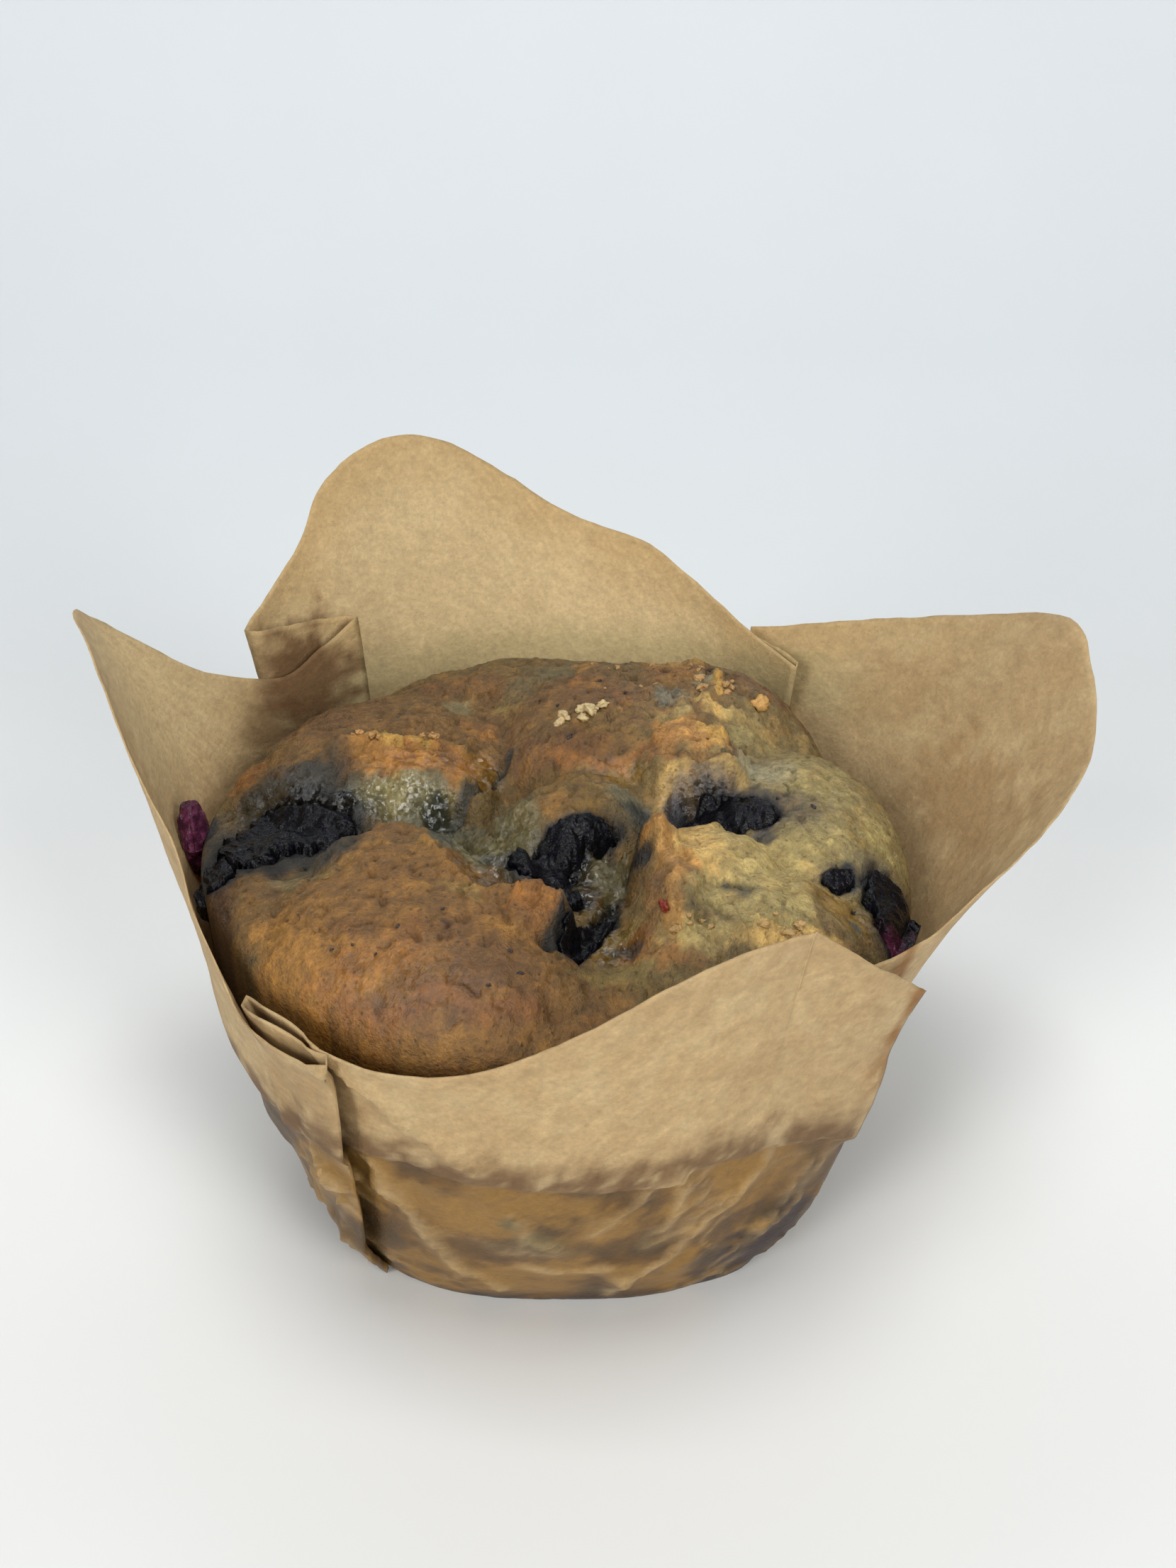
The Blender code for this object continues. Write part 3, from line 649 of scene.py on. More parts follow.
def edgeShare(x, y):
    azimuth = np.arctan2(y, x)
    rim = rimHeight(azimuth)
    radius = cupRadius(azimuth, rim) - crown["gap"]
    return np.clip(np.hypot(x, y) / radius, 0.0, 1.0), rim


def roundedOff(x, y, height):      # the crust rolls over to the rim at its edge
    share, rim = edgeShare(x, y)
    return rim + (height - rim) * np.sqrt(1.0 - share ** crown["edgeRounding"])


def openingAway(x, y, name):      # below 1 where this berry shows through the crust
    return np.array([ellipseAway(x, y, spot) for spot in berries[name][5]]).min(0)


def shownShare(x, y, name):      # 1 where this berry shows through the crust
    ragged = crown["pocketRagged"] * grain(flat(x, y), 2.0, 4, 40.0)
    return 1.0 - smooth(0.84, 1.0, openingAway(x, y, name) + ragged)


def pocketShare(x, y):
    return np.array([shownShare(x, y, name) for name in berries]).max(0)


def discPlaces(u, v):      # a square grid drawn out to a disc, with no pinch at its middle
    wide = np.abs(u) > np.abs(v)
    reach = np.where(wide, u, v)
    other = np.where(wide, v, u)
    angle = math.pi / 4.0 * other / np.where(reach == 0.0, 1.0, reach)
    x = np.where(wide, reach * np.cos(angle), reach * np.sin(angle))
    y = np.where(wide, reach * np.sin(angle), reach * np.cos(angle))
    return x, y


def buildCake():
    bm = bmesh.new()
    bmesh.ops.create_grid(bm, x_segments=crown["cells"], y_segments=crown["cells"], size=1.0)
    square = placesOf(bm.verts)
    x, y = discPlaces(square[:, 0], square[:, 1])
    azimuth = np.arctan2(y, x)
    radius = cupRadius(azimuth, rimHeight(azimuth)) - crown["gap"]
    x, y = x * radius, y * radius
    height, torn = crustHeight(x, y)
    height = roundedOff(x, y, height)
    share, rim = edgeShare(x, y)
    inside = 1.0 - smooth(crown["edgeKept"], 1.0, share)
    height -= crown["pocketDepth"] * pocketShare(x, y) * inside
    surface = np.stack([x, y, height], -1)
    wet = spotShare(x, y, wetSpots, 5, 0.15 * grain(flat(x, y), 2.6, 3, 70.0))
    inside *= 1.0 - crown["wetSmoothing"] * wet
    gritEverywhere, gritTorn = crown["grit"]
    rough = (gritEverywhere + gritTorn * torn) * inside
    for axis, seed in enumerate((50.0, 55.0, 60.0)):
        surface[:, axis] += rough * grain(surface, crown["gritSize"], 3, seed)
    pits = smooth(0.22, 0.60, grain(surface, crown["pitSize"], 2, 65.0))
    surface[:, 2] -= crown["pitDepth"] * pits * inside
    moveTo(bm, surface * mm)
    relief = grain(surface, crown["pitSize"], 2, 65.0)      # how deep each place lies
    relief -= 0.7 * grain(surface, crown["gritSize"], 3, 60.0)
    keepNumbers(bm, "relief", relief)
    keepNumbers(bm, "wet", wet)
    addCakeWall(bm)
    bmesh.ops.recalc_face_normals(bm, faces=bm.faces)
    piece = finishPiece("muffin_crumb", bm, crumbMaterial(), "crumb", "cake")
    paintCrust(piece.data)


def addCakeWall(bm):
    edges = [edge for edge in bm.edges if edge.is_boundary]
    floor = crown["gap"]
    rows = crown["wallRows"]
    for row in range(1, rows + 1):
        made = bmesh.ops.extrude_edge_only(bm, edges=edges)["geom"]
        edges = [part for part in made if isinstance(part, bmesh.types.BMEdge)]
        edges = [edge for edge in edges if edge.is_boundary]
        for vert in {vert for edge in edges for vert in edge.verts}:
            azimuth = math.atan2(vert.co.y, vert.co.x)
            rim = float(rimHeight(azimuth))
            height = rim + (floor - rim) * row / rows
            radius = float(cupRadius(azimuth, height)) - crown["gap"]
            vert.co = Vector((radius * math.cos(azimuth), radius * math.sin(azimuth), height)) * mm
    bmesh.ops.contextual_create(bm, geom=edges)


def paintCrust(mesh):
    places = placesOf(mesh.vertices) / mm
    x, y = places[:, 0], places[:, 1]
    ground = flat(x, y)
    relief = readNumbers(mesh, "relief")
    ragged = 0.42 * grain(ground, 2.6, 5, 70.0) + 0.16 * grain(ground, 0.9, 2, 74.0)
    spotX = x + crown["warp"] * grain(ground, 2.5, 4, 78.0)
    spotY = y + crown["warp"] * grain(ground, 2.5, 4, 82.0)
    tones = np.zeros((len(places), 3))
    toward = painter(tones, crustTones)
    for spot in crustSpots:
        tone, strength, softness = (*spot[5:], 0.5)[:3]
        loose = 0.4 if tone in ("ink", "slate", "greyLump") else 1.0
        atX, atY = x + loose * (spotX - x), y + loose * (spotY - y)
        away = ellipseAway(atX, atY, spot) + 0.6 * loose * ragged
        toward(tone, strength * (1.0 - smooth(1.0 - softness, 1.0 + softness * 0.6, away)))
    patches = grain(places, 2.8, 4, 86.0)
    baked = smooth(0.30, 0.55, tones[:, 0] / (tones.sum(1) + 1e-6))
    toward("gold", crown["goldPatches"] * smooth(0.10, 0.50, patches) * baked)
    toward("brown", crown["brownPatches"] * smooth(0.08, 0.50, -patches) * baked)
    for line, halfWidth, tone, strength in crustMarks:
        if isinstance(line, str):
            line = crests[line][0]
        away = strokeAway(0.5 * (x + spotX), 0.5 * (y + spotY), line) / halfWidth + 0.5 * ragged
        toward(tone, strength * (1.0 - smooth(0.35, 1.15, away)))
    for name in berries:
        away = openingAway(0.7 * x + 0.3 * spotX, 0.7 * y + 0.3 * spotY, name) + 0.3 * ragged
        toward("slate", crown["juiceRim"] * (1.0 - smooth(1.05, 1.7, away)))
        toward("ink", crown["juice"] * (1.0 - smooth(0.95, 1.2, away)))
    slow, fine = crown["mottle"]
    mottle = 1.0 + slow * grain(places, 1.5, 4, 90.0) + fine * grain(places, 0.6, 2, 94.0)
    sunk, proud = smooth(0.1, 0.9, relief), smooth(0.1, 0.8, -relief)
    mottle *= 1.0 - crown["pitShade"] * sunk + crown["gritLight"] * proud
    # painted light: the right of the crust is painted paler than the rest
    right = smooth(4.0, 13.0, x) * (1.0 - smooth(12.0, 20.0, y))
    toneShare, litRightShare = np.array(crown["toneShare"]), np.array(crown["litRightShare"])
    tones *= mottle[:, None] * (toneShare + (litRightShare - toneShare) * right[:, None])
    addTones(mesh, "crustTone", tones)


crumbFinish = {
    "dryRoughness": 0.58, "wetRoughness": 0.09, "beadSize": 0.5, "dryGrain": 1.2,
    "wetGrain": 0.20, "bumpDepth": 0.50,
}


def crumbMaterial():
    shader = Shader("baked_crumb")
    colour = shader.attribute("crustTone", "Color")
    wet = shader.attribute("wet", "Fac")
    fine = shader.noise(0.40, 4.0, 0.65)
    coarse = shader.noise(1.3, 5.0, 0.62)
    beads = shader.facets(crumbFinish["beadSize"])
    shade = shader.times(shader.span(fine, 0.25, 0.75, 0.66, 1.36),
                         shader.span(coarse, 0.3, 0.7, 0.82, 1.18))
    pore = shader.span(shader.cells(0.9)["Distance"], 0.06, 0.24, 0.55, 1.0)
    shade = shader.times(shade, pore)
    shader.feed("Base Color", shader.tint(colour, shade))
    polish = shader.span(wet, 0.0, 1.0, crumbFinish["dryRoughness"], crumbFinish["wetRoughness"])
    shader.feed("Roughness", shader.plus(polish, shader.span(fine, 0.3, 0.7, -0.02, 0.04)))
    height = shader.plus(shader.times(fine, 0.65), shader.times(coarse, 0.45))
    height = shader.plus(height, shader.times(pore, 0.30))
    kept = shader.span(wet, 0.0, 1.0, crumbFinish["dryGrain"], crumbFinish["wetGrain"])
    height = shader.times(height, kept)
    beads = shader.times(beads, shader.span(wet, 0.0, 1.0, 0.0, 1.0))
    shader.bump(shader.plus(height, beads), crumbFinish["bumpDepth"], 0.9)
    shader.set(Specular_IOR_Level=0.6, Subsurface_Weight=0.06, Subsurface_Scale=0.8 * mm,
               Subsurface_Radius=(1.0, 0.55, 0.25))
    return shader.material


berryFinish = {
    "skin": ((6, 7, 10), (20, 17, 30)), "flesh": ((58, 22, 42), (118, 56, 84)),
    "roughness": (0.18, 0.36), "shine": 0.17, "wrinkleDepth": 0.32,
}


def berryMaterial(name, finish):
    shader = Shader(name)
    streaks = shader.noise(1.1, 3.5, 0.6)
    fine = shader.noise(0.35, 3.0, 0.6)
    share = shader.span(streaks, 0.45, 0.80, 0.0, 1.0)
    tone = shader.mix(share, *[screenTone(*shade) for shade in berryFinish["skin"]])
    if finish == "flesh":
        torn = shader.mix(share, *[screenTone(*shade) for shade in berryFinish["flesh"]])
        tone = shader.mix(shader.attribute("fleshShare", "Fac"), tone, torn)
    shader.feed("Base Color", shader.tint(tone, shader.span(fine, 0.2, 0.8, 0.7, 1.3)))
    shader.feed("Roughness", shader.span(fine, 0.3, 0.7, *berryFinish["roughness"]))
    shader.bump(shader.plus(streaks, shader.times(fine, 0.25)), berryFinish["wrinkleDepth"], 0.9)
    shader.set(Specular_IOR_Level=berryFinish["shine"])
    return shader.material


def buildBerries():
    finishes = {
        "skin": (berryMaterial("berry_skin", "skin"), "berry_skin"),
        "flesh": (berryMaterial("berry_flesh", "flesh"), "berry_flesh"),
    }
    slow, fine = flesh["wrinkles"]
    for number, name in enumerate(berries):
        halves, turn, rise, finish = berries[name][:4]
        bm = bmesh.new()
        bmesh.ops.create_icosphere(bm, subdivisions=6, radius=1.0)
        middle = berryMiddle(name)
        bmesh.ops.scale(bm, verts=bm.verts, vec=halves)
        bmesh.ops.rotate(bm, verts=bm.verts, matrix=Matrix.Rotation(math.radians(turn), 3, "Z"))
        bmesh.ops.translate(bm, verts=bm.verts, vec=middle)
        places = placesOf(bm.verts)
        seed = 100.0 + 7.0 * number
        wrinkle = slow * grain(places, 2.6, 3, seed) + fine * grain(places, 0.9, 3, seed + 2.0)
        places += (places - np.array(middle)) * wrinkle[:, None]
        x, y, z = places.T.copy()
        shown = shownShare(x, y, name)
        ceiling = roundedOff(x, y, crustHeight(x, y)[0]) + (rise + 1.0) * shown - 1.0
        ceiling += flesh["ragged"] * grain(places, 1.6, 4, seed + 4.0)
        places[:, 2] -= np.maximum(z - ceiling, 0.0) * flesh["pressed"]
        # every berry stays inside the paper, which leans out most at the left
        lean = flesh["leanLeft"] if name == "berry_left_edge" else flesh["lean"]
        limit = cupRadius(np.arctan2(y, x), places[:, 2])
        limit += lean * np.maximum(places[:, 2] - flesh["leanFrom"], 0.0)
        places[:, :2] *= np.minimum(1.0, limit / np.hypot(x, y))[:, None]
        moveTo(bm, places * mm)
        material, slotName = finishes[finish]
        piece = finishPiece(name.replace("berry_", "burst_berry_"), bm, material, slotName, name)
        if finish == "flesh":
            low = (places[:, 1] - middle[1]) / halves[1] + 0.5 * grain(places, 2.0, 2, seed + 6.0)
            low -= 0.30 * (places[:, 0] - middle[0]) / halves[0]
            bare = 1.0 if name == "berry_left_edge" else 0.0
            addNumbers(piece.data, "fleshShare", np.maximum(bare, smooth(0.3, 0.8, -low)))


# The parchment: four petals folded round the cup with a flat pleat between each two.
paper = {
    "thickness": 0.16,
    "rows": 92,
    "petalColumns": 84,
    "pleatColumns": 16,
    "flareFrom": 33.0,
    "flarePower": 1.25,
    "pleatMiddle": 0.85,
    "pleatOutside": 2.0,
    "liftAngle": 14.0,
    "middleAtBase": 0.3,
    "outsideAtBase": 1.0,
    "openShare": 0.3,           # the pleat has its full depth from this share of the height
    "turnPower": 0.7,
    "raggedEdge": 0.18,
    "meanRadius": 34.0,         # where the sheet is laid flat for its folds and grain
    "foldHeight": 1.4,
    "foldFall": 1.3,
    "greaseClings": 0.30,       # the greasy part lies this much closer to the cake
    "dryStands": 0.50,          # and the dry part above it stands off it, up to the flare
    "facetSize": 10.0,
    "facetRidge": 0.50,
    "sag": 0.80,
    "crumple": 0.20,
    "petalWave": 0.45,
    "fineWave": 0.07,
    "inMost": -0.38,            # the paper may come this near to the cake
}

# base: azimuths of the two folds where the cup stands; edge: azimuth, radius and height
petals = {
    "front": {
        "base": (-137, -46),
        "edge": [(-133, 40.5, 43.6), (-123, 40.5, 43.2), (-113.5, 40.8, 41.9),
                 (-99.5, 40.5, 43.3), (-88.5, 41, 47.4), (-77.2, 41.5, 52.4),
                 (-68.5, 42.2, 54.9), (-60.5, 42.4, 55.2), (-59, 42.5, 54.9),
                 (-50, 43.2, 49.2), (-38, 43.4, 42)],
    },
    "right": {
        "base": (-52, 49),
        "edge": [(-47, 40.3, 46.4), (-36, 42.5, 46.6), (-29, 44.5, 48.3),
                 (-22, 47.6, 50.8), (-15, 50.6, 52.4), (-9, 53.4, 54.6),
                 (-4, 55.4, 56.6), (5, 57.6, 61), (12, 58.2, 64),
                 (24, 55, 60.6), (35, 51.5, 57.6), (47, 47.8, 54.8), (57, 45.4, 53.2)],
    },
    "back": {
        "base": (43, 139),
        "edge": [(44.5, 41.4, 51.2), (57, 43.4, 54), (69, 47, 58.3), (77, 49.6, 61.7),
                 (85.4, 51.6, 63.4), (92.6, 53, 66), (99.5, 53.6, 70.3),
                 (107, 54, 74.4), (114, 54, 76), (121.7, 53, 74.4),
                 (128, 51.8, 70.8), (132.6, 50.2, 65.4), (139.5, 48.2, 61.4),
                 (148, 46, 57.8)],
    },
    "left": {
        "base": (133, 229),
        "edge": [(129.5, 42, 56.7), (138, 41.8, 53.8), (146, 42.5, 51.9),
                 (157, 45.8, 55), (163, 49.5, 59.6), (168, 52.6, 64.4),
                 (173.5, 51.8, 67), (181, 48, 66.1), (188, 45.3, 63.7),
                 (194, 43.6, 60.8), (200, 42, 56.6), (207, 40.4, 52.4),
                 (214, 40.4, 47.8), (222, 41, 45), (228, 42, 42.6),
                 (235, 42.2, 41.4), (243, 42, 42.3)],
    },
}

# azimuth and height where the grease has climbed to, all the way round
greaseLine = [
    (-180, 28.2), (-160, 28.6), (-138, 27), (-126.5, 29), (-110, 29), (-93, 28.3),
    (-77, 27.9), (-69, 29), (-59, 28.4), (-48, 25.8), (-39, 21.7), (-25, 25),
    (0, 28), (40, 27.2), (80, 28.8), (120, 27.4), (150, 28.8), (180, 28.2),
]

# folds in the lower paper: points (azimuth, height), half width, height, how pale it is
creases = {
    "paleFoldLeft": ([(-118, 27.5), (-112, 18), (-108, 11), (-101, 4.6)], 1.4, 0.55, 0.65),
    "leftValley": ([(-121, 25), (-116, 15), (-113, 5)], 1.2, -0.45, 0),
    "paleFoldMiddle": ([(-72.6, 28.7), (-71, 25.5), (-71.5, 22), (-73.5, 18.5)], 1, 0.60, 0.75),
    "lowFoldMiddle": ([(-77.5, 9.5), (-77.8, 6), (-79, 2)], 1.4, 0.50, 0.70),
    "cornerCurl": ([(-120, 42.5), (-113, 38), (-106, 33.5), (-101, 31)], 1.1, 0.70, 0.25),
    "paleBand": ([(-97, 12.5), (-91, 11), (-86, 11.2), (-82, 12.4)], 1.2, 0.40, 0.70),
    "bandAbove": ([(-98, 16), (-92, 14.6), (-85, 15.4)], 1.3, -0.35, 0),
    "crumpleHigh": ([(-128, 26.5), (-124, 22.5), (-122, 23.5)], 0.9, 0.80, 0.80),
    "crumpleLow": ([(-126, 24), (-124, 20), (-121, 18.5)], 0.8, 0.55, 0.6),
    "slantHigh": ([(-84, 19.5), (-80, 23.5), (-74.5, 28.4)], 0.9, 0.50, 0.50),
    "slantValley": ([(-82, 17.5), (-77, 22), (-73, 25)], 1, -0.45, 0),
    "longSlant": ([(-77, 8), (-69, 14.5), (-62, 21), (-56, 27.3)], 1.1, 0.55, 0.60),
    "longValley": ([(-72, 8), (-65, 14), (-58, 20)], 1.2, -0.50, 0),
    "rightSlant": ([(-62, 3), (-56, 12), (-50, 21)], 1, -0.60, 0),
    "rightRidge": ([(-59, 4), (-53, 13), (-47, 22)], 0.8, 0.55, 0.35),
    "rightFold": ([(-46, 4), (-43, 12), (-40, 19)], 0.8, 0.45, 0.2),
    "leftSlant": ([(-133, 6), (-128, 13), (-124, 20)], 0.8, 0.50, 0.35),
    "leftPleatFold": ([(-141, 4), (-137, 14), (-133, 22)], 1, 0.50, 0.3),
    "sideFoldRight": ([(-14, 6), (-8, 16), (-10, 25)], 1.1, 0.50, 0.5),
    "sideFoldRightHigh": ([(14, 24), (20, 14), (17, 5)], 1.1, 0.50, 0.5),
    "backFold": ([(70, 5), (76, 15), (72, 26)], 1.1, 0.50, 0.5),
    "backFoldLeft": ([(112, 6), (106, 15), (110, 25)], 1.1, 0.50, 0.5),
    "backSlant": ([(84, 6), (92, 14), (97, 25)], 1.1, -0.45, 0),
    "sideFoldLeft": ([(168, 5), (174, 15), (170, 25)], 1.1, 0.50, 0.5),
    "sideSlantLeft": ([(-172, 5), (-165, 15), (-161, 26)], 1.1, 0.45, 0.4),
}

paperTones = {
    "dry": (168, 143, 104), "dryPale": (185, 164, 124), "dryBrown": (150, 122, 84),
    "toast": (160, 131, 84), "greaseGold": (131, 98, 47), "greaseBrown": (91, 66, 35),
    "greaseGrey": (66, 53, 35), "band": (92, 66, 42), "crease": (176, 149, 106),
    "purple": (66, 33, 43), "blueGrey": (37, 29, 31), "plum": (45, 31, 30),
    "olive": (84, 78, 50), "wick": (152, 140, 100), "shadowBrown": (88, 58, 32),
    "shadedAmber": (132, 92, 46),
}

# stains on the lower paper: azimuth, height, reach along (in degrees) and up, tone, strength
paperStains = [
    (-102, 22, 9, 4, "greaseGold", 0.9), (-91, 25, 8, 2.5, "greaseGold", 0.8),
    (-82, 21, 6, 4, "greaseGold", 0.8), (-55, 22.4, 6, 4, "greaseGold", 0.7),
    (-97, 21.8, 2, 1.6, "olive", 0.8), (-92, 18.6, 4, 1.6, "olive", 0.7),
    (-106, 14, 5, 5, "greaseBrown", 0.7), (-96, 5, 12, 3.4, "greaseGold", 0.6),
    (-88, 16, 9, 2, "greaseGrey", 0.5), (-68, 20, 5, 4, "greaseBrown", 0.6),
    (-50, 10, 9, 10, "greaseGrey", 0.9), (-52, 4, 11, 8, "plum", 0.97), (-63, 9, 4, 4, "greaseGrey", 0.7),
    (-71, 5, 6, 3, "greaseGold", 0.6), (-47, 9, 8, 8, "plum", 0.9), (-38, 19.4, 3, 4, "purple", 0.95),
    (-36, 12, 4, 6, "blueGrey", 0.7), (-162, 22.5, 11, 6, "purple", 0.9), (-158, 14, 9, 8, "blueGrey", 0.7),
    (-148, 10, 6, 8, "greaseGrey", 0.7), (-129, 8, 5, 7, "greaseBrown", 0.7),
    (-126, 4, 5, 3, "blueGrey", 0.6), (-135, 16, 4, 5, "greaseGold", 0.6),
    (-20, 20, 8, 5, "greaseGold", 0.6), (-5, 12, 8, 5, "blueGrey", 0.5), (30, 20, 10, 5, "greaseGold", 0.6),
    (60, 10, 9, 5, "greaseGrey", 0.5), (95, 21, 9, 4, "greaseGold", 0.6), (120, 11, 7, 5, "blueGrey", 0.5),
    (150, 20, 8, 5, "greaseGold", 0.5),
]

# painted shadow and painted light on the dry paper above, in the same order: the shadowBrown and dryBrown
# marks are painted shadow beside the crust and in the pleats, the amber ones painted shade on the front
# pleat's side face, and the dryPale one painted light on the left petal's inner face
dryShadeAndLight = [
    (140, 50, 11, 8, "shadowBrown", 0.85), (150, 47, 7, 5, "shadowBrown", 0.6),
    (2, 46, 16, 6, "dryBrown", 0.75), (-22, 45, 9, 4, "dryBrown", 0.6), (30, 50, 10, 5, "dryBrown", 0.5),
    (-39.5, 42, 2.2, 7, "shadedAmber", 0.95), (-39, 34, 4, 5, "shadedAmber", 0.6), (-128, 36, 5, 7, "dryBrown", 0.5),
    (-131, 42, 3, 3, "shadowBrown", 0.5), (-118, 38, 8, 6, "dryBrown", 0.45),
    (172, 56, 20, 12, "dryPale", 0.9), (-119, 43, 5, 3, "dryBrown", 0.5),
]


def alongEdge(points, t):      # a smooth curve through the points of a free edge
    spans = len(points) - 1
    index = min(int(t * spans), spans - 1)
    near = t * spans - index
    chosen = [points[min(max(index + step, 0), spans)] for step in (-1, 0, 1, 2)]
    a, b, c, d = [np.array(point, float) for point in chosen]
    curve = 2.0 * b + (c - a) * near + (2.0 * a - 5.0 * b + 4.0 * c - d) * near ** 2
    return (curve + (3.0 * b - a - 3.0 * c + d) * near ** 3) / 2.0


def petalRibs(petal):      # each rib: base azimuth, edge azimuth, radius, height, two lifts
    ribs = []
    start, end = petal["base"]
    for column in range(paper["petalColumns"] + 1):
        t = column / paper["petalColumns"]
        base = start + (end - start) * t
        risen = float(smooth(end - paper["liftAngle"], end, base))
        lifts = (risen * paper["pleatOutside"], risen * paper["outsideAtBase"])
        ribs.append((base, *alongEdge(petal["edge"], t), *lifts))
    return ribs


def pleatRibs(outer, inner):      # the layer that runs back under the petal before it
    ribs = []
    for column in range(1, paper["pleatColumns"]):
        t = column / paper["pleatColumns"]
        left = 1.0 - float(smooth(0.0, 1.0, t))
        lean = [a + (b - a) * t for a, b in zip(outer[:4], inner[:4])]
        lean[2] += paper["pleatMiddle"] * (1.0 - left)
        lean[2] -= (paper["pleatOutside"] - paper["pleatMiddle"]) * left
        ends = smooth(0.0, 0.12, t) * smooth(0.0, 0.12, 1.0 - t)
        lift = paper["pleatMiddle"]
        low = paper["middleAtBase"]
        if t < 0.5:
            lift = outer[4] + (lift - outer[4]) * float(ends)
            low = outer[5] + (low - outer[5]) * float(ends)
        else:
            lift, low = lift * float(ends), low * float(ends)
        ribs.append((*lean, lift, low))
    return ribs


def allRibs():
    order = [petalRibs(petal) for petal in petals.values()]
    ribs = []
    for index, petal in enumerate(order):
        inner = list(order[(index + 1) % 4][0])
        if index == 3:
            inner[0] += 360.0
            inner[1] += 360.0
        ribs += petal + pleatRibs(petal[-1], inner)
    return np.array(ribs + [ribs[0]])


def paperPlaces(ribs, share):      # azimuth in radians, height and radius of each point
    turn = np.sin(share * math.pi / 2.0) ** paper["turnPower"]
    wound = ribs[:, 0].copy()
    edge = ribs[:, 1].copy()
    azimuth = np.radians(wound + (edge - wound) * turn)
    top = ribs[:, 3]
    height = top * share
    opened = smooth(0.0, paper["openShare"], share)
    lift = ribs[:, 5] + (ribs[:, 4] - ribs[:, 5]) * opened
    flare = np.maximum(0.0, (height - paper["flareFrom"]) / (top - paper["flareFrom"]))
    flare = flare ** paper["flarePower"]
    spread = ribs[:, 2] - cupRadius(azimuth, top)
    radius = cupRadius(azimuth, height) + spread * flare + lift * (1.0 - flare)
    return azimuth, height, radius


def turnedFrom(middle, degrees):      # the shorter way round, -180 to 180
    return (degrees - middle + 180.0) % 360.0 - 180.0


def greaseHeight(degrees):
    azimuths, heights = zip(*greaseLine)
    return np.interp(turnedFrom(0.0, degrees), azimuths, heights)


def unrolled(degrees, height, points):      # crease points and places on one flat sheet
    middle = points[0][0]
    scale = math.radians(1.0) * paper["meanRadius"]
    line = [((azimuth - middle) * scale, z) for azimuth, z in points]
    return turnedFrom(middle, degrees) * scale, line


def paperRelief(azimuth, height, top):      # outward push of every fold, wave and crumple
    degrees = np.degrees(azimuth)
    radius = paper["meanRadius"]
    around = np.stack([radius * np.cos(azimuth), radius * np.sin(azimuth), height], -1)
    line = greaseHeight(degrees) + 0.7 * grain(around, 4.0, 3, 200.0)
    low = 1.0 - smooth(-0.9, 0.6, height - line)
    stands = paper["dryStands"] * (1.0 - low) * (1.0 - smooth(31.0, 40.0, height))
    push = stands - paper["greaseClings"] * low
    stretched = around * np.array([1.0, 1.0, 0.62])
    bent = stretched + 1.8 * grain(around, 6.0, 3, 205.0)[:, None]
    facets = cells(bent, paper["facetSize"], 3.0)
    some = smooth(-0.1, 0.4, grain(around, 9.0, 2, 208.0))
    ridge = np.exp(-facets / 0.06) * some
    push += low * (paper["facetRidge"] * ridge - 0.12)
    push += low * paper["sag"] * grain(around, 7.5, 2, 210.0)
    push += low * paper["crumple"] * grain(bent, 3.0, 3, 212.0)
    pale = low * ridge * 0.50
    wanderX = 0.9 * grain(around, 3.0, 3, 214.0)
    for points, halfWidth, rise, paleness in creases.values():
        sheetX, drawn = unrolled(degrees, height, points)
        away = strokeAway(sheetX + wanderX, height, drawn) / halfWidth
        push += paper["foldHeight"] * rise * np.exp(-paper["foldFall"] * away)
        pale = np.maximum(pale, paleness * np.exp(-(away / 0.7) ** 2) * (0.9 + 0.5 * wanderX))
    push *= smooth(0.0, 3.0, height)
    inMost = paper["inMost"]
    push = np.maximum(push, inMost) + 0.04 * np.minimum(push - inMost, 0.0)
    upper = smooth(30.0, 38.0, height) * (1.0 - 0.3 * smooth(0.0, 1.0, height / top))
    push += paper["petalWave"] * upper * grain(around, 14.0, 2, 220.0)
    push += paper["fineWave"] * grain(around, 2.4, 3, 225.0)
    return push, low, pale


def buildPaper():
    ribs = allRibs()
    columns = len(ribs) - 1
    bm = bmesh.new()
    bmesh.ops.create_grid(bm, x_segments=columns, y_segments=paper["rows"], size=0.5)
    grid = placesOf(bm.verts)
    chosen = ribs[np.round((grid[:, 0] + 0.5) * columns).astype(int)]
    share = np.clip(grid[:, 1] + 0.5, 0.0, 1.0)
    azimuth, height, radius = paperPlaces(chosen, share)
    push, low, pale = paperRelief(azimuth, height, chosen[:, 3])
    radius = radius + push
    places = np.stack([radius * np.cos(azimuth), radius * np.sin(azimuth), height], -1)
    places[:, 2] += paper["raggedEdge"] * grain(places, 3.0, 3, 230.0) * smooth(0.97, 1.0, share)
    for name, values in (("low", low), ("pale", pale), ("below", chosen[:, 3] - height)):
        keepNumbers(bm, name, values)
    moveTo(bm, places * mm)
    bmesh.ops.remove_doubles(bm, verts=bm.verts, dist=1e-6)
    base = [e for e in bm.edges if e.is_boundary and max(v.co.z for v in e.verts) < 1e-5]
    bmesh.ops.contextual_create(bm, geom=base)
    bmesh.ops.recalc_face_normals(bm, faces=bm.faces)
    bottom = min(bm.faces, key=lambda face: face.calc_center_median().z)
    if bottom.normal.z > 0.0:
        bmesh.ops.reverse_faces(bm, faces=bm.faces)
    piece = finishPiece("folded_parchment", bm, paperMaterial(), "parchment", "paper_case")
    paintPaper(piece.data)
    wall = piece.modifiers.new("thickness", "SOLIDIFY")
    wall.thickness = paper["thickness"] * mm
    wall.offset = -1.0
    wall.use_even_offset = False


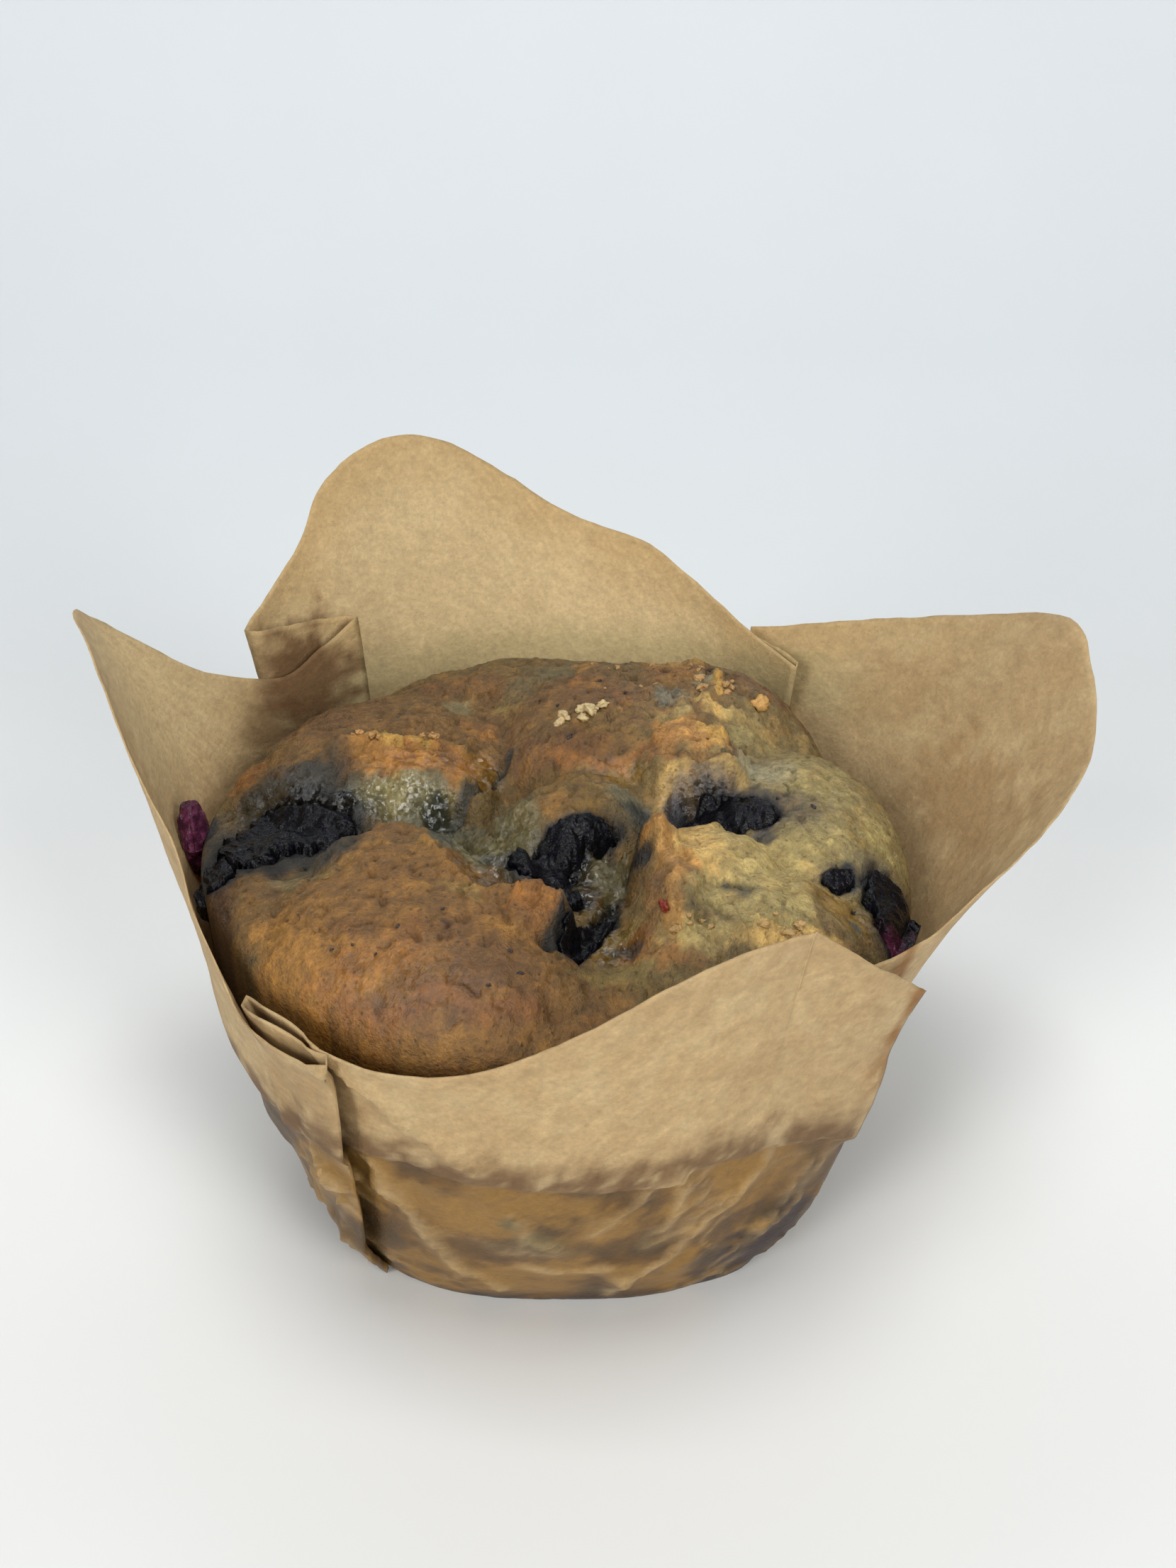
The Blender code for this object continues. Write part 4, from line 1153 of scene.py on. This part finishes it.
def paintPaper(mesh):
    places = placesOf(mesh.vertices) / mm
    low, pale, below = [readNumbers(mesh, name) for name in ("low", "pale", "below")]
    azimuth = np.arctan2(places[:, 1], places[:, 0])
    degrees = np.degrees(azimuth)
    height = places[:, 2]
    cloud = grain(places, 9.0, 4, 240.0)
    mottle = grain(places, 2.2, 4, 245.0)
    felt = grain(places * np.array([1.0, 1.0, 1.4]), 1.2, 3, 250.0)

    tones = np.tile(screenTone(*paperTones["dry"]), (len(places), 1))
    toward = painter(tones, paperTones)

    def stainAndShade(spots, where):
        for middle, z, reach, up, name, strength in spots:
            away = np.hypot(turnedFrom(middle, degrees) / reach, (height - z) / up)
            away += 0.5 * mottle + 0.2 * cloud
            toward(name, strength * (1.0 - smooth(0.40, 1.15, away)) * where)

    toward("dryPale", 0.36 * smooth(0.05, 0.6, 0.7 * cloud + 0.8 * mottle))
    toward("dryBrown", 0.32 * smooth(0.05, 0.6, -0.7 * cloud - 0.8 * mottle))
    # painted light: the back of the sheet, which faces the front lamps, is painted paler
    back = smooth(0.2, 0.8, np.sin(azimuth))
    toward("dryPale", 0.6 * back)
    toward("toast", 0.55 * (1.0 - smooth(0.0, 11.0, below + 3.0 * cloud)) * back)
    wick = smooth(44.0, 46.0, height) * (1.0 - smooth(49.0, 53.0, height + 2.5 * mottle))
    toward("wick", 0.55 * wick * back)
    # painted shadow and painted light on the dry paper, from the list above
    stainAndShade(dryShadeAndLight, 1.0 - low)
    over = height - greaseHeight(degrees)
    band = (1.0 - smooth(0.3, 5.5, over + 2.2 * mottle + 0.8 * cloud)) * (1.0 - low)
    toward("band", 0.88 * band)
    toward("dryPale", 0.45 * band * smooth(0.15, 0.5, mottle))
    greasy = smooth(0.1, 0.7, low)
    toward("greaseBrown", greasy)
    toward("greaseGold", 0.85 * greasy * smooth(-0.15, 0.35, cloud + 0.3 * mottle))
    toward("greaseGrey", 0.65 * greasy * smooth(0.12, 0.5, -cloud - 0.2 * mottle))
    stainAndShade(paperStains, greasy)
    toward("crease", 0.85 * pale)
    dark = greasy * (1.0 - smooth(0.4, 2.4, height + 1.2 * mottle))
    toward("blueGrey", 0.55 * dark)
    tones *= (1.0 + 0.13 * felt)[:, None]
    addTones(mesh, "paperTone", tones)
    addNumbers(mesh, "grease", low)


sheetFinish = {"dryRoughness": 0.66, "greasyRoughness": 0.46, "shine": 0.22, "feltDepth": 0.09}


def paperMaterial():
    shader = Shader("parchment_sheet")
    colour = shader.attribute("paperTone", "Color")
    grease = shader.attribute("grease", "Fac")
    fibre = shader.noise(0.50, 4.0, 0.7)
    felt = shader.noise(1.2, 5.0, 0.68, (1.0, 1.0, 1.4))
    shade = shader.times(shader.span(fibre, 0.25, 0.75, 0.84, 1.16),
                         shader.span(felt, 0.3, 0.7, 0.90, 1.10))
    shader.feed("Base Color", shader.tint(colour, shade))
    polish = shader.span(grease, 0.0, 1.0, sheetFinish["dryRoughness"],
                         sheetFinish["greasyRoughness"])
    shader.feed("Roughness", shader.plus(polish, shader.span(fibre, 0.3, 0.7, -0.04, 0.06)))
    shader.bump(shader.plus(fibre, shader.times(felt, 1.8)), sheetFinish["feltDepth"], 0.8)
    shader.set(Specular_IOR_Level=sheetFinish["shine"], Subsurface_Weight=0.08,
               Subsurface_Scale=0.8 * mm, Subsurface_Radius=(1.0, 0.7, 0.4))
    return shader.material


# Small loose bits: where, how large, how many, how far they spread, and their tone.
looseBits = {
    "whiteCluster": ((3.4, 9.2), 0.62, 8, (1.4, 1.3), (190, 168, 122)),
    "whiteCrumb": ((-0.1, 8.4), 0.62, 3, (0.5, 0.6), (184, 160, 116)),
    "kneeCrumbs": ((18.0, 16.5), 0.42, 14, (2.2, 3.0), (168, 130, 80)),
    "yellowCrumb": ((23.3, 14.2), 0.80, 2, (0.4, 0.7), (186, 142, 78)),
    "backCrumbs": ((10.0, 20.0), 0.36, 12, (7.0, 5.0), (156, 122, 76)),
    "lipCrumbs": ((-17.0, 6.0), 0.34, 14, (6.5, 0.9), (170, 128, 76)),
    "frontCrumbs": ((12.4, -26.4), 0.34, 6, (2.2, 0.7), (166, 134, 84)),
    "rimCrumbs": ((21.5, -25.0), 0.40, 8, (3.4, 1.0), (170, 138, 88)),
}
darkBits = {
    "domeSpecks": ((-12.0, -28.0), 0.15, 6, (8.0, 6.0)),
    "nearSpecks": ((-5.0, -31.0), 0.22, 2, (2.4, 3.0)),
    "rightSpecks": ((26.0, -10.0), 0.20, 5, (5.0, 8.0)),
    "crumbDot": ((1.0, 5.8), 0.45, 1, (0.1, 0.1)),
    "backSpecks": ((4.0, 14.0), 0.18, 5, (12.0, 7.0)),
}
redDot = {"at": (10.0, -24.4), "lift": 0.1, "size": 0.62, "turn": 5.0}
bitShape = {"stretch": (1.15, 0.75, 0.70), "ragged": 0.75, "least": 0.3}


def crustAt(x, y):
    x, y = np.array([x]), np.array([y])
    return float(roundedOff(x, y, crustHeight(x, y)[0])[0])


def addBit(bm, middle, size, seed):      # one ragged, flattened crumb
    made = bmesh.ops.create_icosphere(bm, subdivisions=3, radius=1.0)["verts"]
    shift = Vector((seed, seed, 0.0))
    for vert in made:
        rough = 1.0 + bitShape["ragged"] * noise.fractal(vert.co * 1.1 + shift, 0.9, 2.1, 4)
        rough = max(rough, bitShape["least"])
        vert.co = [a * b * rough * size for a, b in zip(vert.co, bitShape["stretch"])]
    spin = Matrix.Rotation(seed * 2.3, 3, "Z") @ Matrix.Rotation(seed, 3, "X")
    bmesh.ops.rotate(bm, verts=made, matrix=spin)
    bmesh.ops.translate(bm, verts=made, vec=middle)
    return made


def bitMaterial(name, low, high, roughness):
    shader = Shader(name)
    fine = shader.noise(0.3, 3.0, 0.6)
    share = shader.span(fine, 0.3, 0.7, 0.0, 1.0)
    shader.feed("Base Color", shader.mix(share, screenTone(*low), screenTone(*high)))
    shader.feed("Roughness", shader.span(fine, 0.3, 0.7, roughness, roughness + 0.15))
    shader.bump(fine, 0.15, 0.7)
    return shader.material


def paleBitMaterial():      # like the one above, with the tone that each crumb carries
    shader = Shader("pale_crumbs")
    fine = shader.noise(0.3, 3.0, 0.6)
    shade = shader.span(fine, 0.3, 0.7, 0.8, 1.15)
    shader.feed("Base Color", shader.tint(shader.attribute("bitTone", "Color"), shade))
    shader.feed("Roughness", shader.span(fine, 0.3, 0.7, 0.5, 0.7))
    shader.bump(fine, 0.15, 0.7)
    return shader.material


def scattered(dice, bits, sizes, lift):      # a place, a size and a turn for every bit
    for bit in bits.values():
        (x, y), size, count, (spreadX, spreadY) = bit[:4]
        for number in range(count):
            atX = x + dice.uniform(-1.0, 1.0) * spreadX
            atY = y + dice.uniform(-1.0, 1.0) * spreadY
            grown = size * dice.uniform(*sizes)
            middle = Vector((atX, atY, crustAt(atX, atY) + lift * grown))
            yield bit, middle, grown, dice.uniform(0.0, 40.0)


def buildBits():
    dice = random.Random(11)
    bm = bmesh.new()
    toneLayer = bm.verts.layers.float_color.new("bitTone")
    for bit, middle, size, turn in scattered(dice, looseBits, (0.55, 1.25), 0.35):
        for vert in addBit(bm, middle, size, turn):
            vert[toneLayer] = (*screenTone(*bit[4]), 1.0)
    toMetres(bm)
    finishPiece("loose_crumbs", bm, paleBitMaterial(), "crumb")

    bm = bmesh.new()
    for bit, middle, size, turn in scattered(dice, darkBits, (0.7, 1.3), 0.0):
        addBit(bm, middle, size, turn)
    toMetres(bm)
    material = bitMaterial("dark_bits", (30, 26, 30), (52, 40, 36), 0.45)
    finishPiece("dark_specks", bm, material, "berry_skin")

    bm = bmesh.new()
    x, y = redDot["at"]
    addBit(bm, Vector((x, y, crustAt(x, y) + redDot["lift"])), redDot["size"], redDot["turn"])
    toMetres(bm)
    material = bitMaterial("red_dot", (104, 30, 22), (140, 54, 34), 0.35)
    finishPiece("red_skin_dot", bm, material, "berry_flesh")


print("muffin: camera, lights and sweep")
buildStudio()
print("muffin: cake and its crust")
buildCake()
print("muffin: berries")
buildBerries()
print("muffin: folded parchment")
buildPaper()
print("muffin: loose crumbs and specks")
buildBits()
